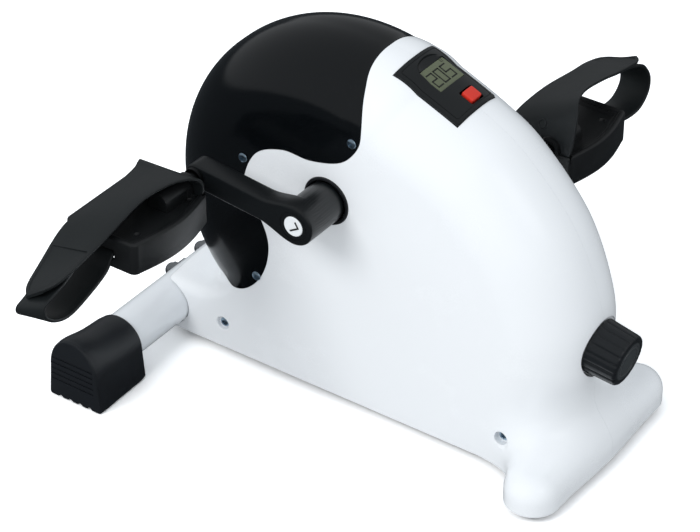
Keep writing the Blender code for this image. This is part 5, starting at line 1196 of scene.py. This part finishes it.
for side, sign in SIDES:
    x, z = PEDAL_AXLES[side]
    for kind in ("inner", "outer"):
        line = spline(np.array(STRAP_PATHS[side, kind]) / 1000, 6)
        band = strap_band(f"{side}_{kind}_band", line, x, z, sign, -STRAP_HALF, STRAP_HALF, 0.0)
        if kind == "inner":
            start, end = 0.0944, 0.162
            combine(band, rod(x, z, sign * start, sign * end, AXLE_ROOM, 48),
                    side_block((x - AXLE_ROOM, start, z - 0.02), (x + AXLE_ROOM, end, z), sign))
            low, high = STRAP_HALF - 0.0007, STRAP_HALF + 0.003
            combine(band, strap_band("panel", line[-16:-3], x, z, sign, low, high, 0.0034))
        sharpen(band, 38)
        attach(band, side + "_pedal_body")
        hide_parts(f"{side}_{kind}_strap")
        if (side, kind) == ("right", "inner"):
            aim = (Vector(STUD_POINT) - Vector(CAMERA_PLACE)).normalized()
            surface = BVHTree.FromPolygons([corner.co for corner in band.data.vertices],
                                           [tuple(face.vertices) for face in band.data.polygons])
            touch, normal = surface.ray_cast(Vector(STUD_POINT) - aim * 0.06, aim)[:2]
            stud = turned(STUD_RING, 36, along(*touch, normal), hollow=True, name="right_strap_stud",
                          finish=strap_pvc)
            sharpen(stud, 38)
            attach(stud, "right_pedal_body")

# The tension knob: black ABS with eighteen flutes, pushed onto the spindle, with a grey face disc
# in a thin ring.
KNOB_LENGTH = 0.0283
KNOB_WIDE = 0.0229
KNOB_NARROW = 0.0216
KNOB_EDGE = 0.0028
FLUTES = 18
FLUTE_DEPTH = 0.0009
FACE_RADIUS = 0.0165
knob_black = moulded("knob_black", (0.009, 0.0112, 0.0135), 0.33, grain=0.0006, depth=0.00003, tint=0.15)
face_grey = moulded("face_grey", (0.042, 0.048, 0.051), 0.36, grain=0.0005, depth=0.00002)


def fluted_ring(radius, depth, height):
    """Ring of the knob's grip, drawn in by a narrow round groove at each flute."""
    ring = []
    for i in range(FLUTES * 10):
        t = 2 * math.pi * i / (FLUTES * 10)
        share = (i % 10) / 10.0
        groove = math.exp(-((min(share, 1.0 - share)) / 0.13) ** 2)
        reach = radius - depth * groove
        ring.append((reach * math.cos(t), reach * math.sin(t), height))
    return ring


rings = [fluted_ring(KNOB_WIDE - 0.0006, 0.0, -0.0007), fluted_ring(KNOB_WIDE, 0.0, 0.0001)]
for share in np.linspace(0.06, 0.86, 6):
    rings.append(fluted_ring(KNOB_WIDE + (KNOB_NARROW - KNOB_WIDE) * share, FLUTE_DEPTH, KNOB_LENGTH * share))
for t in np.linspace(0.0, math.pi / 2, 6):
    rings.append(fluted_ring(KNOB_NARROW - KNOB_EDGE * (1.0 - math.cos(t)), FLUTE_DEPTH * (1.0 - t / 2.4),
                             KNOB_LENGTH - KNOB_EDGE * (1.0 - math.sin(t))))
grip = loft("grip", rings, knob_black, knob_place)
face_seat = [(FACE_RADIUS, KNOB_LENGTH - 0.0016), (FACE_RADIUS, KNOB_LENGTH + 0.01)]
spindle_hole = [(0.0046, -0.01), (0.0046, 0.015)]
combine(grip, turned(face_seat, 72, knob_place), turned(spindle_hole, 32, knob_place))
sharpen(grip, 32)
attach(grip, "knob_body")
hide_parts("knob")
FACE_PROFILE = ((0.0162, -0.0014), (0.0162, -0.0002), (0.0155, 0.0), (0.0133, -0.0003), (0.0129, 0.0004),
                (0.0119, 0.0004), (0.0115, -0.0003), (0.006, 0.0), (0.001, 0.0001))
plate = turned([(radius, KNOB_LENGTH + rise) for radius, rise in FACE_PROFILE], 72, knob_place,
               name="grip_face", finish=face_grey)
sharpen(plate, 25)
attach(plate, "knob_body")
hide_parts("knob_face")

# The works inside the housing: a welded frame in black paint, a cast flywheel, plated steel axles and
# bearings, nylon pulleys with a rubber belt, the magnet brake and the speed sensor with its lead.


def cast(name, colour, roughness, metallic):
    """Cast or painted metal with a sandy skin and darker pits."""
    finish, shader, wire = new_finish(name)
    place = wire.node("TexCoord", output="Object")
    sand = place.noise(900.0, 4.0, 0.7)
    pits = wire.node("TexVoronoi", {"feature": "F1"}, {"Vector": place, "Scale": 260.0})
    height = sand * 0.7 + pits * 0.3
    join(shader, sand.shade(colour, 0.6), sand * 0.2 + (roughness - 0.1), height, 0.0001)
    shader.inputs["Metallic"].default_value = metallic
    return finish


frame_paint = cast("frame_paint", (0.03, 0.031, 0.033), 0.42, 0.2)
flywheel_iron = cast("flywheel_iron", (0.16, 0.16, 0.17), 0.55, 0.9)
magnet_block = cast("magnet_block", (0.36, 0.36, 0.38), 0.35, 1.0)
belt_rubber = soft_black("belt_rubber", (0.014, 0.014, 0.015), 0.6, grain=0.0009)
INNER_FINISHES = {
    frame_paint: ("welded_frame",), flywheel_iron: ("flywheel",), belt_rubber: ("drive_belt",),
    magnet_block: ("brake_magnets", "sensor_magnet"), face_grey: ("spindle_bush",),
    nylon_black: ("crank_pulley", "flywheel_pulley", "speed_sensor"),
    axle_steel: ("crank_spindle", "flywheel_axle", "left_crank_bearing", "right_crank_bearing", "magnet_arm",
                 "left_flywheel_bearing", "right_flywheel_bearing", "brake_pivot_pin", "return_spring",
                 "tension_spindle"),
}
for finish, names in INNER_FINISHES.items():
    for name in names:
        nodes[name].data.materials.clear()
        nodes[name].data.materials.append(finish)
